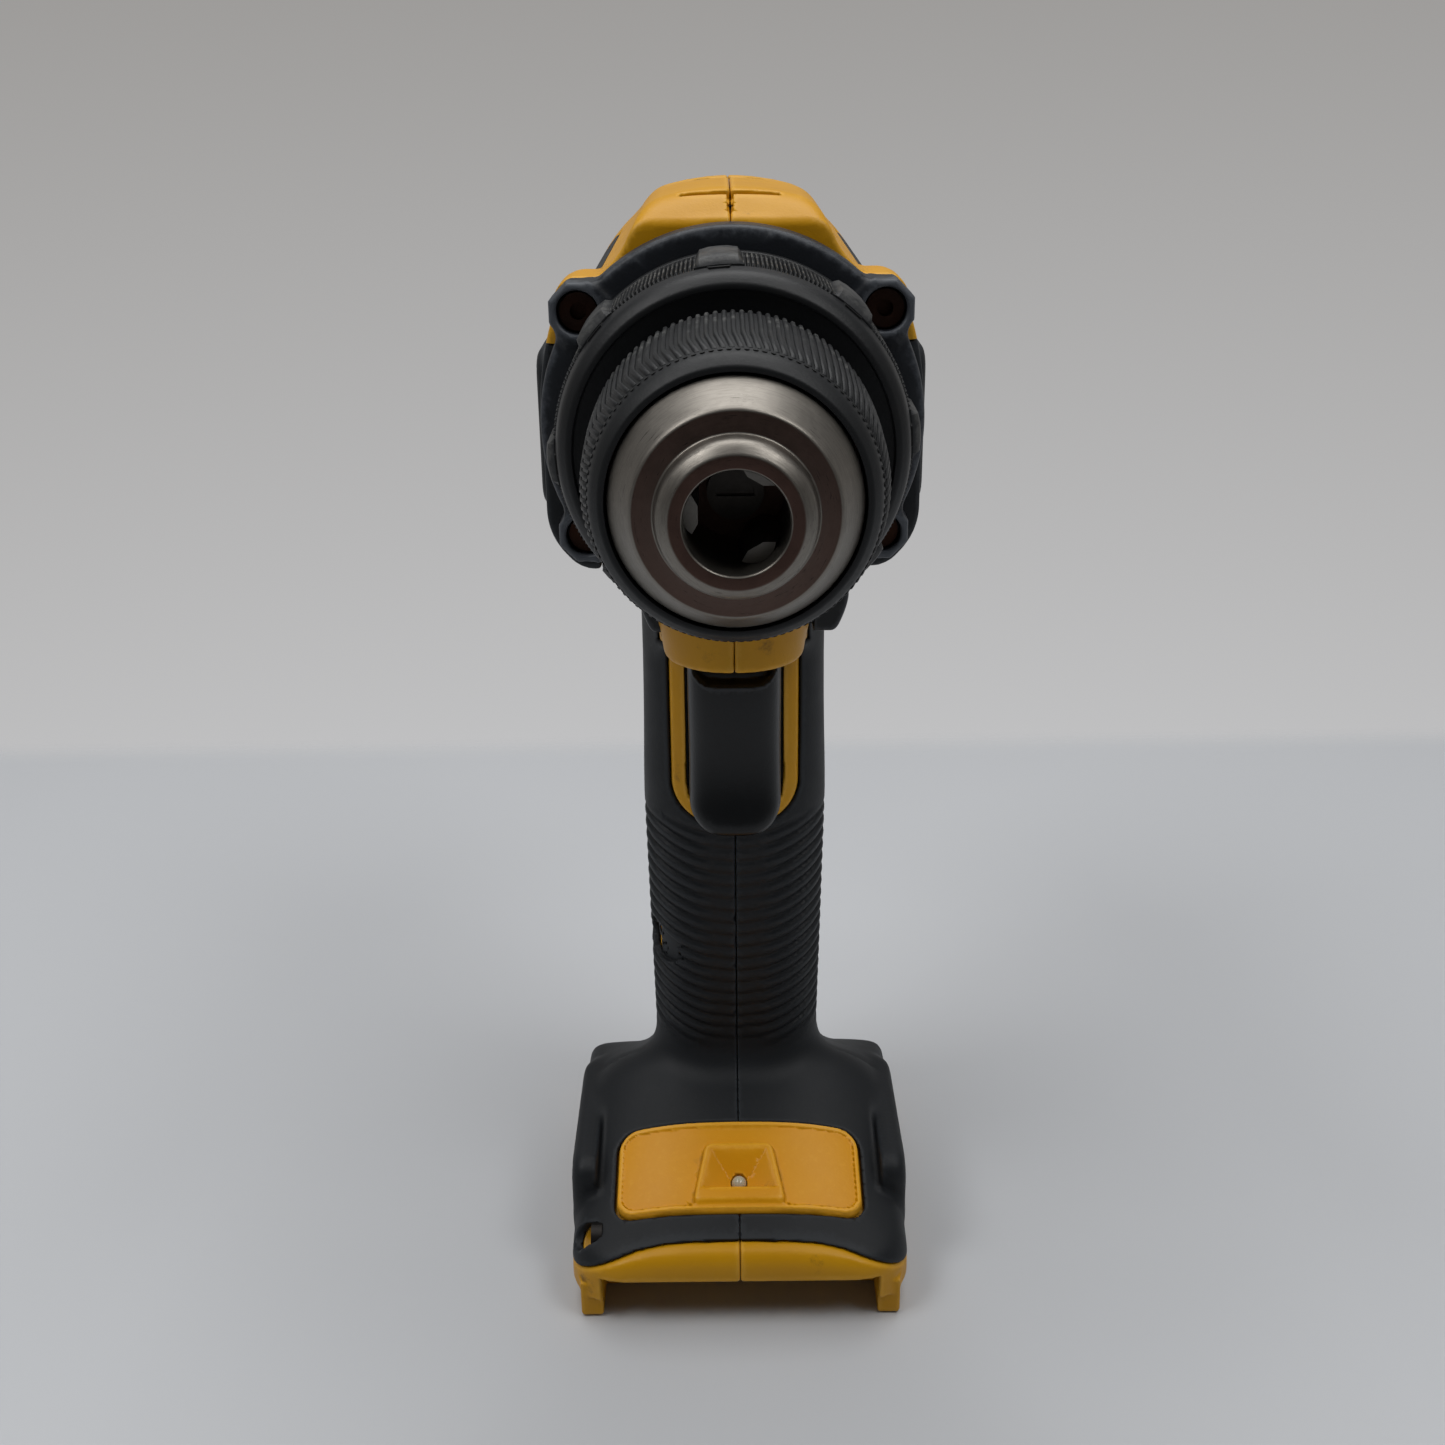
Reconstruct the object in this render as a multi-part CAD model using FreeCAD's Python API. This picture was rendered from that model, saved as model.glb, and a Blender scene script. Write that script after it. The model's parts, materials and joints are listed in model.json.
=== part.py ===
import FreeCAD, Part
import math
import os

# Cordless drill with a 13 mm keyless chuck, a 24-step clutch, a three-stage
# two-speed planetary gearbox, a brushed motor and a slide-on battery bay.
# Frame, mm: X across (the tool's own left is +X), Y from the chuck nose towards
# the back, Z up from the face the foot stands on.

# ---- driving dimensions ----
AXIS_Z = 180.0              # height of the spindle axis
HALF_LENGTH = 95.0          # nose of the chuck at -Y, back of the motor housing at +Y
HALF_WIDTH = 34.5           # outer faces of the rubber side pads
HOOD_TOP = 35.6             # flat top of the housing above the spindle axis
BARREL_R = 31.0             # motor housing and gearcase flange
WALL = 2.4                  # moulded housing wall
SKIN = 1.8                  # rubber overmould
RUNNING = 0.05              # radial clearance of shafts and pins
FREE = 0.3                  # clearance of parts that move past each other

CHUCK_BORE_R = 6.9
CHUCK_BODY_R = 17.2
CHUCK_SLEEVE_R = 21.75
CHUCK_LENGTH = 37.0
JAW_R = 3.2
JAW_TILT = 18.0             # degrees between a jaw and the chuck axis
JAW_LENGTH = 24.0
JAW_TIP_DEPTH = 5.0         # jaw tips below the nose, jaws nearly open
JAW_GRIP_R = 5.0            # gripping faces from the axis, jaws nearly open
JAW_GRIP_LENGTH = 14.0
JAW_ANGLES = (60.0, 180.0, 300.0)
JAW_CLOSING = 13.76          # travel of a jaw along its line, from rest to closed

GEARCASE_R = 24.5           # gear housing barrel
GEARCASE_BORE = 21.6
RING_R = 21.5               # outside of the ring gears
NOSE_TUBE_R = 17.0          # threaded nose that carries the clutch nut
FLANGE_FRONT = -34.0
FLANGE_BACK = -27.0
EAR_X = 24.2                # four corner screws of the gearcase
EAR_Z = 18.0
GEAR_SHIFT = 4.4            # travel of the speed ring gear
PIN_R = 1.75                # planet pins

MOTOR_R = 22.0
SHAFT_R = 2.5
MOTOR_FRONT = 11.05
MOTOR_BACK = 66.0

TRIGGER_HALF = 8.7
TRIGGER_LOW = 98.0
TRIGGER_HIGH = 133.0
TRIGGER_FRONT = -19.0
TRIGGER_TRAVEL = 7.0

FOOT_HALF = 34.0
LEG_HALF = 32.0             # outer faces of the battery rails
LEG_WALL = 4.5
BAY_CEILING = 10.7
LEG_BACK = 44.0


# ---- plain shapes ----
def block(x, y, z):
    """A box from its low and high limits on each axis."""
    size = (x[1] - x[0], y[1] - y[0], z[1] - z[0])
    return Part.makeBox(*size, FreeCAD.Vector(x[0], y[0], z[0]))


def rod(radius, y_low, y_high, x=0.0, z=AXIS_Z):
    """A round bar along Y."""
    return Part.makeCylinder(
        radius, y_high - y_low, FreeCAD.Vector(x, y_low, z), FreeCAD.Vector(0, 1, 0)
    )


def tube(outer, inner, y_low, y_high, x=0.0, z=AXIS_Z):
    """A round tube along Y."""
    return rod(outer, y_low, y_high, x, z).cut(rod(inner, y_low - 1, y_high + 1, x, z))


def cross_rod(radius, x_low, x_high, y, z):
    """A round bar along X."""
    return Part.makeCylinder(
        radius, x_high - x_low, FreeCAD.Vector(x_low, y, z), FreeCAD.Vector(1, 0, 0)
    )


def turned(outline):
    """A turned part on the spindle axis, from (radius, y) points."""
    points = [FreeCAD.Vector(radius, y, AXIS_Z) for radius, y in outline]
    face = Part.Face(Part.makePolygon(points + points[:1]))
    return face.revolve(FreeCAD.Vector(0, 0, AXIS_Z), FreeCAD.Vector(0, 1, 0), 360)


def prism(outline, y_low, y_high):
    """A bar along Y with a section given as (x, z) points."""
    points = [FreeCAD.Vector(x, y_low, z) for x, z in outline]
    face = Part.Face(Part.makePolygon(points + points[:1]))
    return face.extrude(FreeCAD.Vector(0, y_high - y_low, 0))


def side_prism(outline, x_low, x_high):
    """A bar along X with a section given as (y, z) points."""
    points = [FreeCAD.Vector(x_low, y, z) for y, z in outline]
    face = Part.Face(Part.makePolygon(points + points[:1]))
    return face.extrude(FreeCAD.Vector(x_high - x_low, 0, 0))


def mirrored(points):
    """An outline closed with its own mirror image across X = 0."""
    return points + [(-x, z) for x, z in reversed(points)]


def polar(radius, degrees):
    """X and Z of a point round the spindle axis."""
    angle = math.radians(degrees)
    return radius * math.cos(angle), AXIS_Z + radius * math.sin(angle)


def about_axis(shape, degrees):
    """A copy of a shape turned round the spindle axis, from +X towards +Z."""
    copy = shape.copy()
    copy.rotate(FreeCAD.Vector(0, 0, AXIS_Z), FreeCAD.Vector(0, 1, 0), -degrees)
    return copy


def level_section(half_width, y_low, y_high, corner, z):
    """A level rounded rectangle, one station of a moulded form."""
    corner = min(corner, half_width - 0.5, (y_high - y_low) / 2 - 0.5)
    arcs, edges = [], []
    centres = (
        (half_width - corner, y_high - corner, 0),
        (corner - half_width, y_high - corner, 90),
        (corner - half_width, y_low + corner, 180),
        (half_width - corner, y_low + corner, 270),
    )
    for x, y, start in centres:
        marks = []
        for turn in (0, 45, 90):
            angle = math.radians(start + turn)
            marks.append(
                FreeCAD.Vector(x + corner * math.cos(angle), y + corner * math.sin(angle), z)
            )
        arcs.append(marks)
    for marks, following in zip(arcs, arcs[1:] + arcs[:1]):
        edges.append(Part.Arc(*marks).toShape())
        edges.append(Part.LineSegment(marks[2], following[0]).toShape())
    return Part.Wire(edges)


def stacked(stations, inset):
    """A form through level stations (z, half width, front y, back y, corner), shrunk by inset."""
    wires = [
        level_section(half - inset, front + inset, back - inset, corner - inset * 0.5, z)
        for z, half, front, back, corner in stations
    ]
    return Part.makeLoft(wires, True, True)


def coil(radius, wire, length, turns):
    """A compression spring standing on the origin, along Z; its wire has eight flats."""
    height = length - 2 * wire
    helix = Part.makeHelix(height / turns, height, radius)
    corners = [math.radians(45 * corner + 22.5) for corner in range(8)]
    ring = [
        FreeCAD.Vector(radius + wire * math.cos(a), 0, wire * math.sin(a)) for a in corners
    ]
    ring = Part.makePolygon(ring + ring[:1])
    spring = Part.Wire(helix).makePipeShell([ring], True, True)
    spring.translate(FreeCAD.Vector(0, 0, wire))
    return spring


def coil_along_y(radius, wire, y_low, y_high, turns, z=AXIS_Z):
    spring = coil(radius, wire, y_high - y_low, turns)
    spring.rotate(FreeCAD.Vector(0, 0, 0), FreeCAD.Vector(1, 0, 0), -90)
    spring.translate(FreeCAD.Vector(0, y_low, z))
    return spring


def joined(shapes):
    """Shapes fused into one solid."""
    return shapes[0].multiFuse(shapes[1:]).removeSplitter()


def save(name, *shapes):
    """One STEP file for a node: one solid, or a group of like solids."""
    solids = [solid for shape in shapes for solid in shape.Solids]
    shape = solids[0] if len(solids) == 1 else Part.makeCompound(solids)
    shape.exportStep(f"parts/{name}.step")
    volume = sum(solid.Volume for solid in solids)
    print(f"{name}: {len(solids)} solids, {volume:.0f} mm3, valid {shape.isValid()}")


# ---- gears: involute flanks as short flat facets ----
PRESSURE_ANGLE = math.radians(20)
FLANK_STEPS = 4
BACKLASH = 0.05             # each flank is set back by this much


def involute(angle):
    return math.tan(angle) - angle


def gear_outline(teeth, module, root, tip, thicker, phase):
    """Points (x, z) round a gear; phase is the angle of one tooth's middle."""
    pitch_r = teeth * module / 2
    base_r = pitch_r * math.cos(PRESSURE_ANGLE)
    radii = [root + (tip - root) * step / FLANK_STEPS for step in range(FLANK_STEPS + 1)]
    points = []
    for tooth in range(teeth):
        middle = phase + 2 * math.pi * tooth / teeth
        flank = []
        for radius in radii:
            slope = math.acos(min(1.0, base_r / radius))
            half = math.pi / (2 * teeth) + involute(PRESSURE_ANGLE) - involute(slope)
            flank.append((radius, half + thicker / pitch_r))
        points += [(r * math.cos(middle - a), r * math.sin(middle - a)) for r, a in flank]
        points += [(r * math.cos(middle + a), r * math.sin(middle + a)) for r, a in flank[::-1]]
    return points


def gear_bar(teeth, module, root, tip, thicker, phase, y_low, y_high, centre=(0.0, AXIS_Z)):
    """A toothed bar along Y."""
    outline = gear_outline(teeth, module, root, tip, thicker, phase)
    return prism([(centre[0] + x, centre[1] + z) for x, z in outline], y_low, y_high)


def outer_gear(teeth, module, phase, y_low, y_high, bore, centre=(0.0, AXIS_Z)):
    """A gear with short teeth and a round bore."""
    pitch_r = teeth * module / 2
    root, tip = pitch_r - module, pitch_r + 0.8 * module
    gear = gear_bar(teeth, module, root, tip, -BACKLASH, phase, y_low, y_high, centre)
    return gear.cut(rod(bore, y_low - 1, y_high + 1, centre[0], centre[1]))


def ring_gear(teeth, module, phase, y_low, y_high):
    """A ring with inner teeth; phase is the angle of one tooth gap's middle."""
    pitch_r = teeth * module / 2
    root, tip = pitch_r - 0.8 * module, pitch_r + module
    gap = gear_bar(teeth, module, root, tip, BACKLASH, phase, y_low - 1, y_high + 1)
    return rod(RING_R, y_low, y_high).cut(gap)


class Stage:
    """One planetary stage: a sun, three planets and a ring in mesh."""

    PLANET_ANGLES = (90.0, 210.0, 330.0)

    def __init__(self, sun, planet, ring, module):
        self.sun, self.planet, self.ring, self.module = sun, planet, ring, module
        self.orbit = (sun + planet) * module / 2

    def centre(self, degrees):
        return polar(self.orbit, degrees)

    def planet_phase(self, degrees):
        """The planet's tooth angle that meshes with a sun tooth at +X."""
        angle = math.radians(degrees)
        sun_turn = angle * self.sun / (2 * math.pi)
        return angle + math.pi - 2 * math.pi / self.planet * (0.5 - sun_turn)

    def ring_phase(self):
        """The ring's gap angle that meets the first planet's tooth."""
        angle = math.radians(self.PLANET_ANGLES[0])
        turn = (angle - self.planet_phase(self.PLANET_ANGLES[0])) * self.planet / (2 * math.pi)
        return angle - turn * 2 * math.pi / self.ring

    def planets(self, y_low, y_high):
        return [
            outer_gear(self.planet, self.module, self.planet_phase(degrees),
                       y_low, y_high, PIN_R + RUNNING, self.centre(degrees))
            for degrees in self.PLANET_ANGLES
        ]

    def pins(self, y_low, y_high):
        return [
            rod(PIN_R, y_low, y_high, *self.centre(degrees)) for degrees in self.PLANET_ANGLES
        ]


STAGE_1 = Stage(15, 18, 51, 0.7)
STAGE_2 = Stage(24, 12, 48, 0.75)
STAGE_3 = Stage(24, 12, 48, 0.75)
PLATE_R = 16.5              # planet carrier plates, inside the ring gears' teeth


# ---- chuck: depth is measured back from the nose ----
def at_depth(depth):
    return depth - HALF_LENGTH


CONE_APEX = JAW_TIP_DEPTH + (
    (JAW_R / math.cos(math.radians(JAW_TILT)) + JAW_GRIP_R)
    - JAW_GRIP_LENGTH * math.tan(math.radians(JAW_TILT))
) / -math.tan(math.radians(JAW_TILT))
WEB_FRONT, WEB_BACK = 19.5, 25.0        # wall between the tool bore and the spindle thread
NUT_FRONT, NUT_BACK = 18.0, 26.0
THREAD_R = 6.35
SCREW_R = 2.5


def jaw_line_radius(depth):
    """Distance of a jaw's middle line from the chuck axis."""
    return (depth - CONE_APEX) * math.tan(math.radians(JAW_TILT))


def jaw_bar(radius, depth_low, depth_high, degrees):
    """A round bar along a jaw's line, between two depths on that line."""
    tilt = math.radians(JAW_TILT)
    x, z = polar(jaw_line_radius(depth_low), degrees)
    length = (depth_high - depth_low) / math.cos(tilt)
    turn = math.radians(degrees)
    direction = FreeCAD.Vector(
        math.sin(tilt) * math.cos(turn), math.cos(tilt), math.sin(tilt) * math.sin(turn)
    )
    start = FreeCAD.Vector(x, at_depth(depth_low), z)
    return Part.makeCylinder(radius, length, start, direction)


def jaw_sector():
    """A jaw's third of the circle when closed, moved out to where it rests: it bevels the sides."""
    point = JAW_CLOSING * math.sin(math.radians(JAW_TILT)) + 0.06
    reach = 20.0
    spread = reach * math.tan(math.radians(60))
    return prism(
        [(point, AXIS_Z), (point + reach, AXIS_Z + spread), (point + reach, AXIS_Z - spread)],
        at_depth(-10), at_depth(40),
    )


def chuck_parts():
    nose = turned([
        (0, at_depth(0)), (8.9, at_depth(0)), (10.2, at_depth(0.9)), (10.8, at_depth(3.6)),
        (13.9, at_depth(4.0)), (CHUCK_BODY_R, at_depth(10)), (CHUCK_BODY_R, at_depth(36)),
        (0, at_depth(36)),
    ])
    groove = tube(CHUCK_BODY_R + 1, 9.5, at_depth(NUT_FRONT - FREE), at_depth(NUT_BACK + FREE))
    hollows = [
        rod(CHUCK_BORE_R, at_depth(-1), at_depth(WEB_FRONT)),
        rod(SCREW_R + FREE, at_depth(WEB_FRONT - 1), at_depth(WEB_BACK + 1)),
        rod(THREAD_R + RUNNING, at_depth(WEB_BACK), at_depth(40)),
        groove,
    ]
    jaw_holes = [jaw_bar(JAW_R + 0.08, -6, 36.5, degrees) for degrees in JAW_ANGLES]
    save("chuck_body", nose.cut(hollows + jaw_holes))

    sleeve = turned([
        (17.5, at_depth(9.6)), (18.4, at_depth(9.6)), (19.9, at_depth(11.6)),
        (21.3, at_depth(18)), (CHUCK_SLEEVE_R, at_depth(26)),
        (CHUCK_SLEEVE_R, at_depth(CHUCK_LENGTH)), (17.5, at_depth(CHUCK_LENGTH)),
    ])
    save("chuck_sleeve", sleeve)

    reach = JAW_R / math.cos(math.radians(JAW_TILT)) + 0.1
    nut = turned([
        (jaw_line_radius(NUT_FRONT) + reach, at_depth(NUT_FRONT)), (17.45, at_depth(NUT_FRONT)),
        (17.45, at_depth(NUT_BACK)), (jaw_line_radius(NUT_BACK) + reach, at_depth(NUT_BACK)),
    ])
    split = block((-0.05, 0.05), (at_depth(0), at_depth(CHUCK_LENGTH)), (100, 260))
    save("chuck_nut", nut.cut(split))

    tail = JAW_TIP_DEPTH + JAW_LENGTH * math.cos(math.radians(JAW_TILT))
    for number, degrees in enumerate(JAW_ANGLES, 1):
        jaw = jaw_bar(JAW_R, JAW_TIP_DEPTH - 3, tail, degrees)
        tip_cut = rod(40, at_depth(-10), at_depth(JAW_TIP_DEPTH))
        throat = block((-30, JAW_GRIP_R), (at_depth(-10), at_depth(40)), (AXIS_Z - 30, AXIS_Z + 30))
        jaw = jaw.cut([tip_cut, about_axis(throat, degrees)])
        save(f"chuck_jaw_{number}", jaw.common(about_axis(jaw_sector(), degrees)))

    head = rod(3.9, at_depth(17), at_depth(WEB_FRONT)).cut(
        block((-2.6, 2.6), (at_depth(16.5), at_depth(17.8)), (AXIS_Z - 0.6, AXIS_Z + 0.6))
    )
    save("chuck_screw", joined([head, rod(SCREW_R, at_depth(WEB_FRONT), at_depth(39))]))

    spindle = turned([
        (0, -70), (THREAD_R, -70), (THREAD_R, -58.8), (7.0, -58.8), (7.0, -31), (17.0, -31),
        (17.0, -26), (0, -26),
    ]).cut(rod(SCREW_R + RUNNING, -71, -52))
    save("output_spindle", joined([spindle] + STAGE_3.pins(-26, -15.6)))

    balls = [
        Part.makeSphere(1.45, FreeCAD.Vector(x, -48.5, z))
        for x, z in (polar(10.5, 36 * place) for place in range(10))
    ]
    races = [tube(14.0, 12.0, -52, -45), tube(9.0, 7.0 + RUNNING, -52, -45)]
    save("front_bearing", *races, *balls)


# ---- clutch ----
CLUTCH_PIN_ORBIT = 20.0
CLUTCH_PIN_R = 1.6
NUT_LUG_ANGLES = (45, 135, 225, 315)
COLLAR_R = 27.4
TAB_TURN = 4.0              # the collar's first tab lies this far off the top


def clutch_pin_spots():
    return [polar(CLUTCH_PIN_ORBIT, 30 + 60 * place) for place in range(6)]


def clutch_parts():
    collar = turned([
        (17.35, -55.2), (24.0, -55.2), (24.0, -56), (24.8, -56), (26.3, -54.6), (27.1, -48),
        (COLLAR_R, -40), (COLLAR_R, -34.3), (24.6, -34.3), (24.6, -42), (22.4, -42),
        (22.4, -53.8), (17.35, -53.8),
    ])
    tab = block((25.5, 28.4), (-51, -38), (AXIS_Z - 3.6, AXIS_Z + 3.6))
    keyway = block((21.5, 24.6), (-53.8, -41), (AXIS_Z - 3.3, AXIS_Z + 3.3))
    tabs = [about_axis(tab, 90 + TAB_TURN + 45 * place) for place in range(8)]
    keyways = [about_axis(keyway, degrees) for degrees in NUT_LUG_ANGLES]
    save("clutch_collar", joined([collar] + tabs).cut(keyways))

    lug = block((20.5, 24.3), (-53.5, -48.5), (AXIS_Z - 3.0, AXIS_Z + 3.0))
    lugs = [about_axis(lug, degrees) for degrees in NUT_LUG_ANGLES]
    rim = rod(22.0, -53.5, -48.5)
    save("clutch_nut", joined([rim] + lugs).cut(rod(NOSE_TUBE_R + RUNNING, -60, -40)))

    save("clutch_spring", coil_along_y(19.7, 1.0, -48.45, -36.0, 3.5))
    save("clutch_washer", tube(22.0, 17.3, -35.9, -34.95))
    pins = [rod(CLUTCH_PIN_R, -34.9, -25.1, x, z) for x, z in clutch_pin_spots()]
    save("clutch_pins", *pins)

    clicker = tube(23.9, 22.9, -34.6, FLANGE_FRONT)
    bump = rod(0.7, -34.6, FLANGE_FRONT, *polar(23.6, 80))
    save("detent_spring", joined([clicker, bump]))

    circlip = tube(19.0, 16.4, -57.0, -56.0)
    mouth = block((-2.5, 2.5), (-60, -50), (AXIS_Z - 30, AXIS_Z))
    save("collar_retainer", circlip.cut(mouth))


# ---- gearbox ----
SHIFT_GROOVE_Y = -8.9
WIRE_R = 0.7


def ear_spots():
    return [(side * EAR_X, AXIS_Z + level * EAR_Z) for side in (-1, 1) for level in (-1, 1)]


def gearcase_parts():
    solid = joined(
        [
            rod(BARREL_R, FLANGE_FRONT, FLANGE_BACK),
            rod(GEARCASE_R, FLANGE_BACK, 8),
            rod(NOSE_TUBE_R, -57.5, FLANGE_FRONT),
        ]
        + [rod(4.6, FLANGE_FRONT - 0.3, FLANGE_BACK, x, z) for x, z in ear_spots()]
    )
    hollows = [
        rod(14.0 + RUNNING, -58, -45),
        rod(8.0, -46, -31),
        rod(17.4, -32, -25),
        rod(GEARCASE_BORE, -25.2, 9),
        tube(18, 16.3, -57.05, -55.95),
    ]
    hollows += [rod(CLUTCH_PIN_R + 0.1, -35, -25, x, z) for x, z in clutch_pin_spots()]
    hollows += [rod(1.8, -40, -20, x, z) for x, z in ear_spots()]
    hollows += [rod(3.4, -40, -30.5, x, z) for x, z in ear_spots()]
    slot = (SHIFT_GROOVE_Y - 1.0, SHIFT_GROOVE_Y + GEAR_SHIFT + 1.0)
    hollows.append(block((-30, 30), slot, (AXIS_Z - 1.0, AXIS_Z + 1.0)))
    save("gearcase", solid.cut(hollows))

    screws = []
    for x, z in ear_spots():
        head = rod(3.0, -32.7, -30.5, x, z).cut(rod(1.3, -33, -31.3, x, z))
        screws.append(joined([head, rod(1.6, -30.5, -12, x, z)]))
    save("gearcase_screws", *screws)

    save("ring_gear_1", ring_gear(51, STAGE_1.module, STAGE_1.ring_phase(), 0.8, 7.0))
    speed_ring = ring_gear(48, STAGE_2.module, STAGE_2.ring_phase(), -12.4, -5.4)
    groove = tube(22.5, 20.3, SHIFT_GROOVE_Y - 0.9, SHIFT_GROOVE_Y + 0.9)
    save("ring_gear_2", speed_ring.cut(groove))
    save("ring_gear_3", ring_gear(48, STAGE_3.module, STAGE_3.ring_phase(), -25, -15))

    save("pinion", outer_gear(15, STAGE_1.module, 0, -0.3, 7.4, SHAFT_R))
    sun_2 = outer_gear(24, STAGE_2.module, 0, -12, -3.5, 2.6)
    plate_1 = tube(PLATE_R, 2.6, -3.5, -1)
    save("planet_carrier_1", joined([sun_2, plate_1] + STAGE_1.pins(-1, 6.9)))
    sun_3 = outer_gear(24, STAGE_3.module, 0, -24.6, -15, 2.6)
    plate_2 = tube(PLATE_R, 2.6, -15, -12.5)
    save("planet_carrier_2", joined([sun_3, plate_2] + STAGE_2.pins(-12.5, -4.3)))
    rows = ((1, STAGE_1, -0.5, 6.5), (2, STAGE_2, -12, -4.2), (3, STAGE_3, -25, -16))
    for number, stage, y_low, y_high in rows:
        for letter, planet in zip("abc", stage.planets(y_low, y_high)):
            save(f"planet_gear_{number}{letter}", planet)


def speed_selector_parts():
    """The sliding button on the hood and the wire that moves the speed ring gear."""
    arch_r = GEARCASE_R + 1.3
    arch = Part.makeTorus(
        arch_r, WIRE_R, FreeCAD.Vector(0, SHIFT_GROOVE_Y, AXIS_Z), FreeCAD.Vector(0, 1, 0)
    ).common(block((-40, 40), (-20, 10), (AXIS_Z, AXIS_Z + 40)))
    ends = [
        cross_rod(WIRE_R, 20.7, arch_r, SHIFT_GROOVE_Y, AXIS_Z),
        cross_rod(WIRE_R, -arch_r, -20.7, SHIFT_GROOVE_Y, AXIS_Z),
    ]
    save("shift_wire", joined([arch] + ends))

    low = AXIS_Z + GEARCASE_R + 2.2
    knob = block((-6, 6), (7, 21), (AXIS_Z + 30, AXIS_Z + 35))
    ridges = [
        block((-7, 7), (9 + 3 * place, 10.2 + 3 * place), (AXIS_Z + 34.5, AXIS_Z + 36))
        for place in range(4)
    ]
    carriage = block((-9, 9), (-12, 25), (AXIS_Z + 29.0, AXIS_Z + 30.6))
    fork = block((-4, 4), (-11.5, -6.3), (low - 1.8, AXIS_Z + 29.5))
    saddle = tube(arch_r + WIRE_R + 0.1, 20, SHIFT_GROOVE_Y - 0.8, SHIFT_GROOVE_Y + 0.8)
    save("speed_button", joined([knob.cut(ridges), carriage, fork]).cut(saddle))


# ---- motor ----
def motor_parts():
    plate = tube(24.4, 6.5, 8.05, 11.0)
    save("motor_mount_plate", plate.cut([rod(1.6, 5, 12, x, AXIS_Z) for x in (-12, 12)]))

    can = rod(MOTOR_R, MOTOR_FRONT, MOTOR_BACK).cut(rod(20.4, MOTOR_FRONT + 1.5, 70))
    vents = [
        about_axis(block((15, 30), (14, 20), (AXIS_Z - 5, AXIS_Z + 5)), 45 + 90 * place)
        for place in range(4)
    ]
    save("motor_can", can.cut(vents + [rod(SHAFT_R + RUNNING, 10, 13)]))

    arc = tube(20.35, 17.6, 24, 56)
    trims = [block((-30, 30), (20, 60), (AXIS_Z - 7, AXIS_Z + 7))]
    save("motor_magnets", arc.cut(trims))

    slot = block((9, 18), (25, 55), (AXIS_Z - 1.6, AXIS_Z + 1.6))
    slots = [about_axis(slot, 45 * place) for place in range(8)]
    save("armature_core", rod(16.9, 26, 54).cut(slots + [rod(SHAFT_R, 25, 55)]))
    bar = block((9.2, 15.8), (25.9, 54.1), (AXIS_Z - 1.4, AXIS_Z + 1.4))
    bars = [about_axis(bar, 45 * place) for place in range(8)]
    turns = [tube(15.8, 5.2, 22.4, 26.0), tube(15.8, 5.2, 54.0, 57.6)]
    save("armature_windings", joined(turns + [bar.common(block((9.2, 15.8), (26, 54), (0, 300)))
                                              for bar in bars]))
    save("motor_shaft", rod(SHAFT_R, -0.3, 74.5))

    commutator = tube(6.9, SHAFT_R, 58.2, 65.6)
    gaps = [
        about_axis(block((5.6, 8), (57, 64.4), (AXIS_Z - 0.3, AXIS_Z + 0.3)), 36 * place)
        for place in range(10)
    ]
    save("commutator", commutator.cut(gaps))

    blade = block((5.5, 18.4), (14.6, 20.4), (AXIS_Z - 0.7, AXIS_Z + 0.7))
    blades = [about_axis(blade, 40 * place) for place in range(9)]
    disc = rod(18.4, 13.4, 14.8)
    fan = joined([disc, rod(6.0, 13.4, 20.4)] + blades)
    save("motor_fan", fan.cut(rod(SHAFT_R, 12, 22)))

    cap = rod(20.3, MOTOR_BACK + 0.1, 69)
    hub = rod(6.5, 69, 75.5)
    holders = [
        block(sides, (58.8, MOTOR_BACK + 0.1), (AXIS_Z - 4.6, AXIS_Z + 4.6))
        for sides in ((8, 19.6), (-19.6, -8))
    ]
    tunnels = [
        block(sides, (60.3, 64.7), (AXIS_Z - 3.1, AXIS_Z + 3.1))
        for sides in ((7, 18.6), (-18.6, -7))
    ]
    bearing_seat = rod(4.0 + RUNNING, 70.5, 80)
    holder = joined([cap, hub] + holders).cut(tunnels + [bearing_seat, rod(3.2, 60, 72)])
    save("brush_holder", holder)
    save("rear_bearing", tube(4.0, SHAFT_R + RUNNING, 70.5, 75.5))
    brushes = [
        block(sides, (60.4, 64.6), (AXIS_Z - 3.0, AXIS_Z + 3.0))
        for sides in ((7.2, 13.0), (-13.0, -7.2))
    ]
    save("carbon_brushes", *brushes)
    springs = []
    for side in (1, -1):
        spring = coil(1.5, 0.3, 5.4, 5)
        spring.rotate(FreeCAD.Vector(0, 0, 0), FreeCAD.Vector(0, 1, 0), 90 * side)
        spring.translate(FreeCAD.Vector(13.1 * side, 62.5, AXIS_Z))
        springs.append(spring)
    save("brush_springs", *springs)


# ---- trigger group ----
SWITCH_FRONT = 6.5
PLUNGER_Z = 122.0
SPRING_Z = 108.0
BUTTON_OFFSET = 1.85        # the direction button rests pushed to +X
BUTTON_HALF = 19.0


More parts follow.
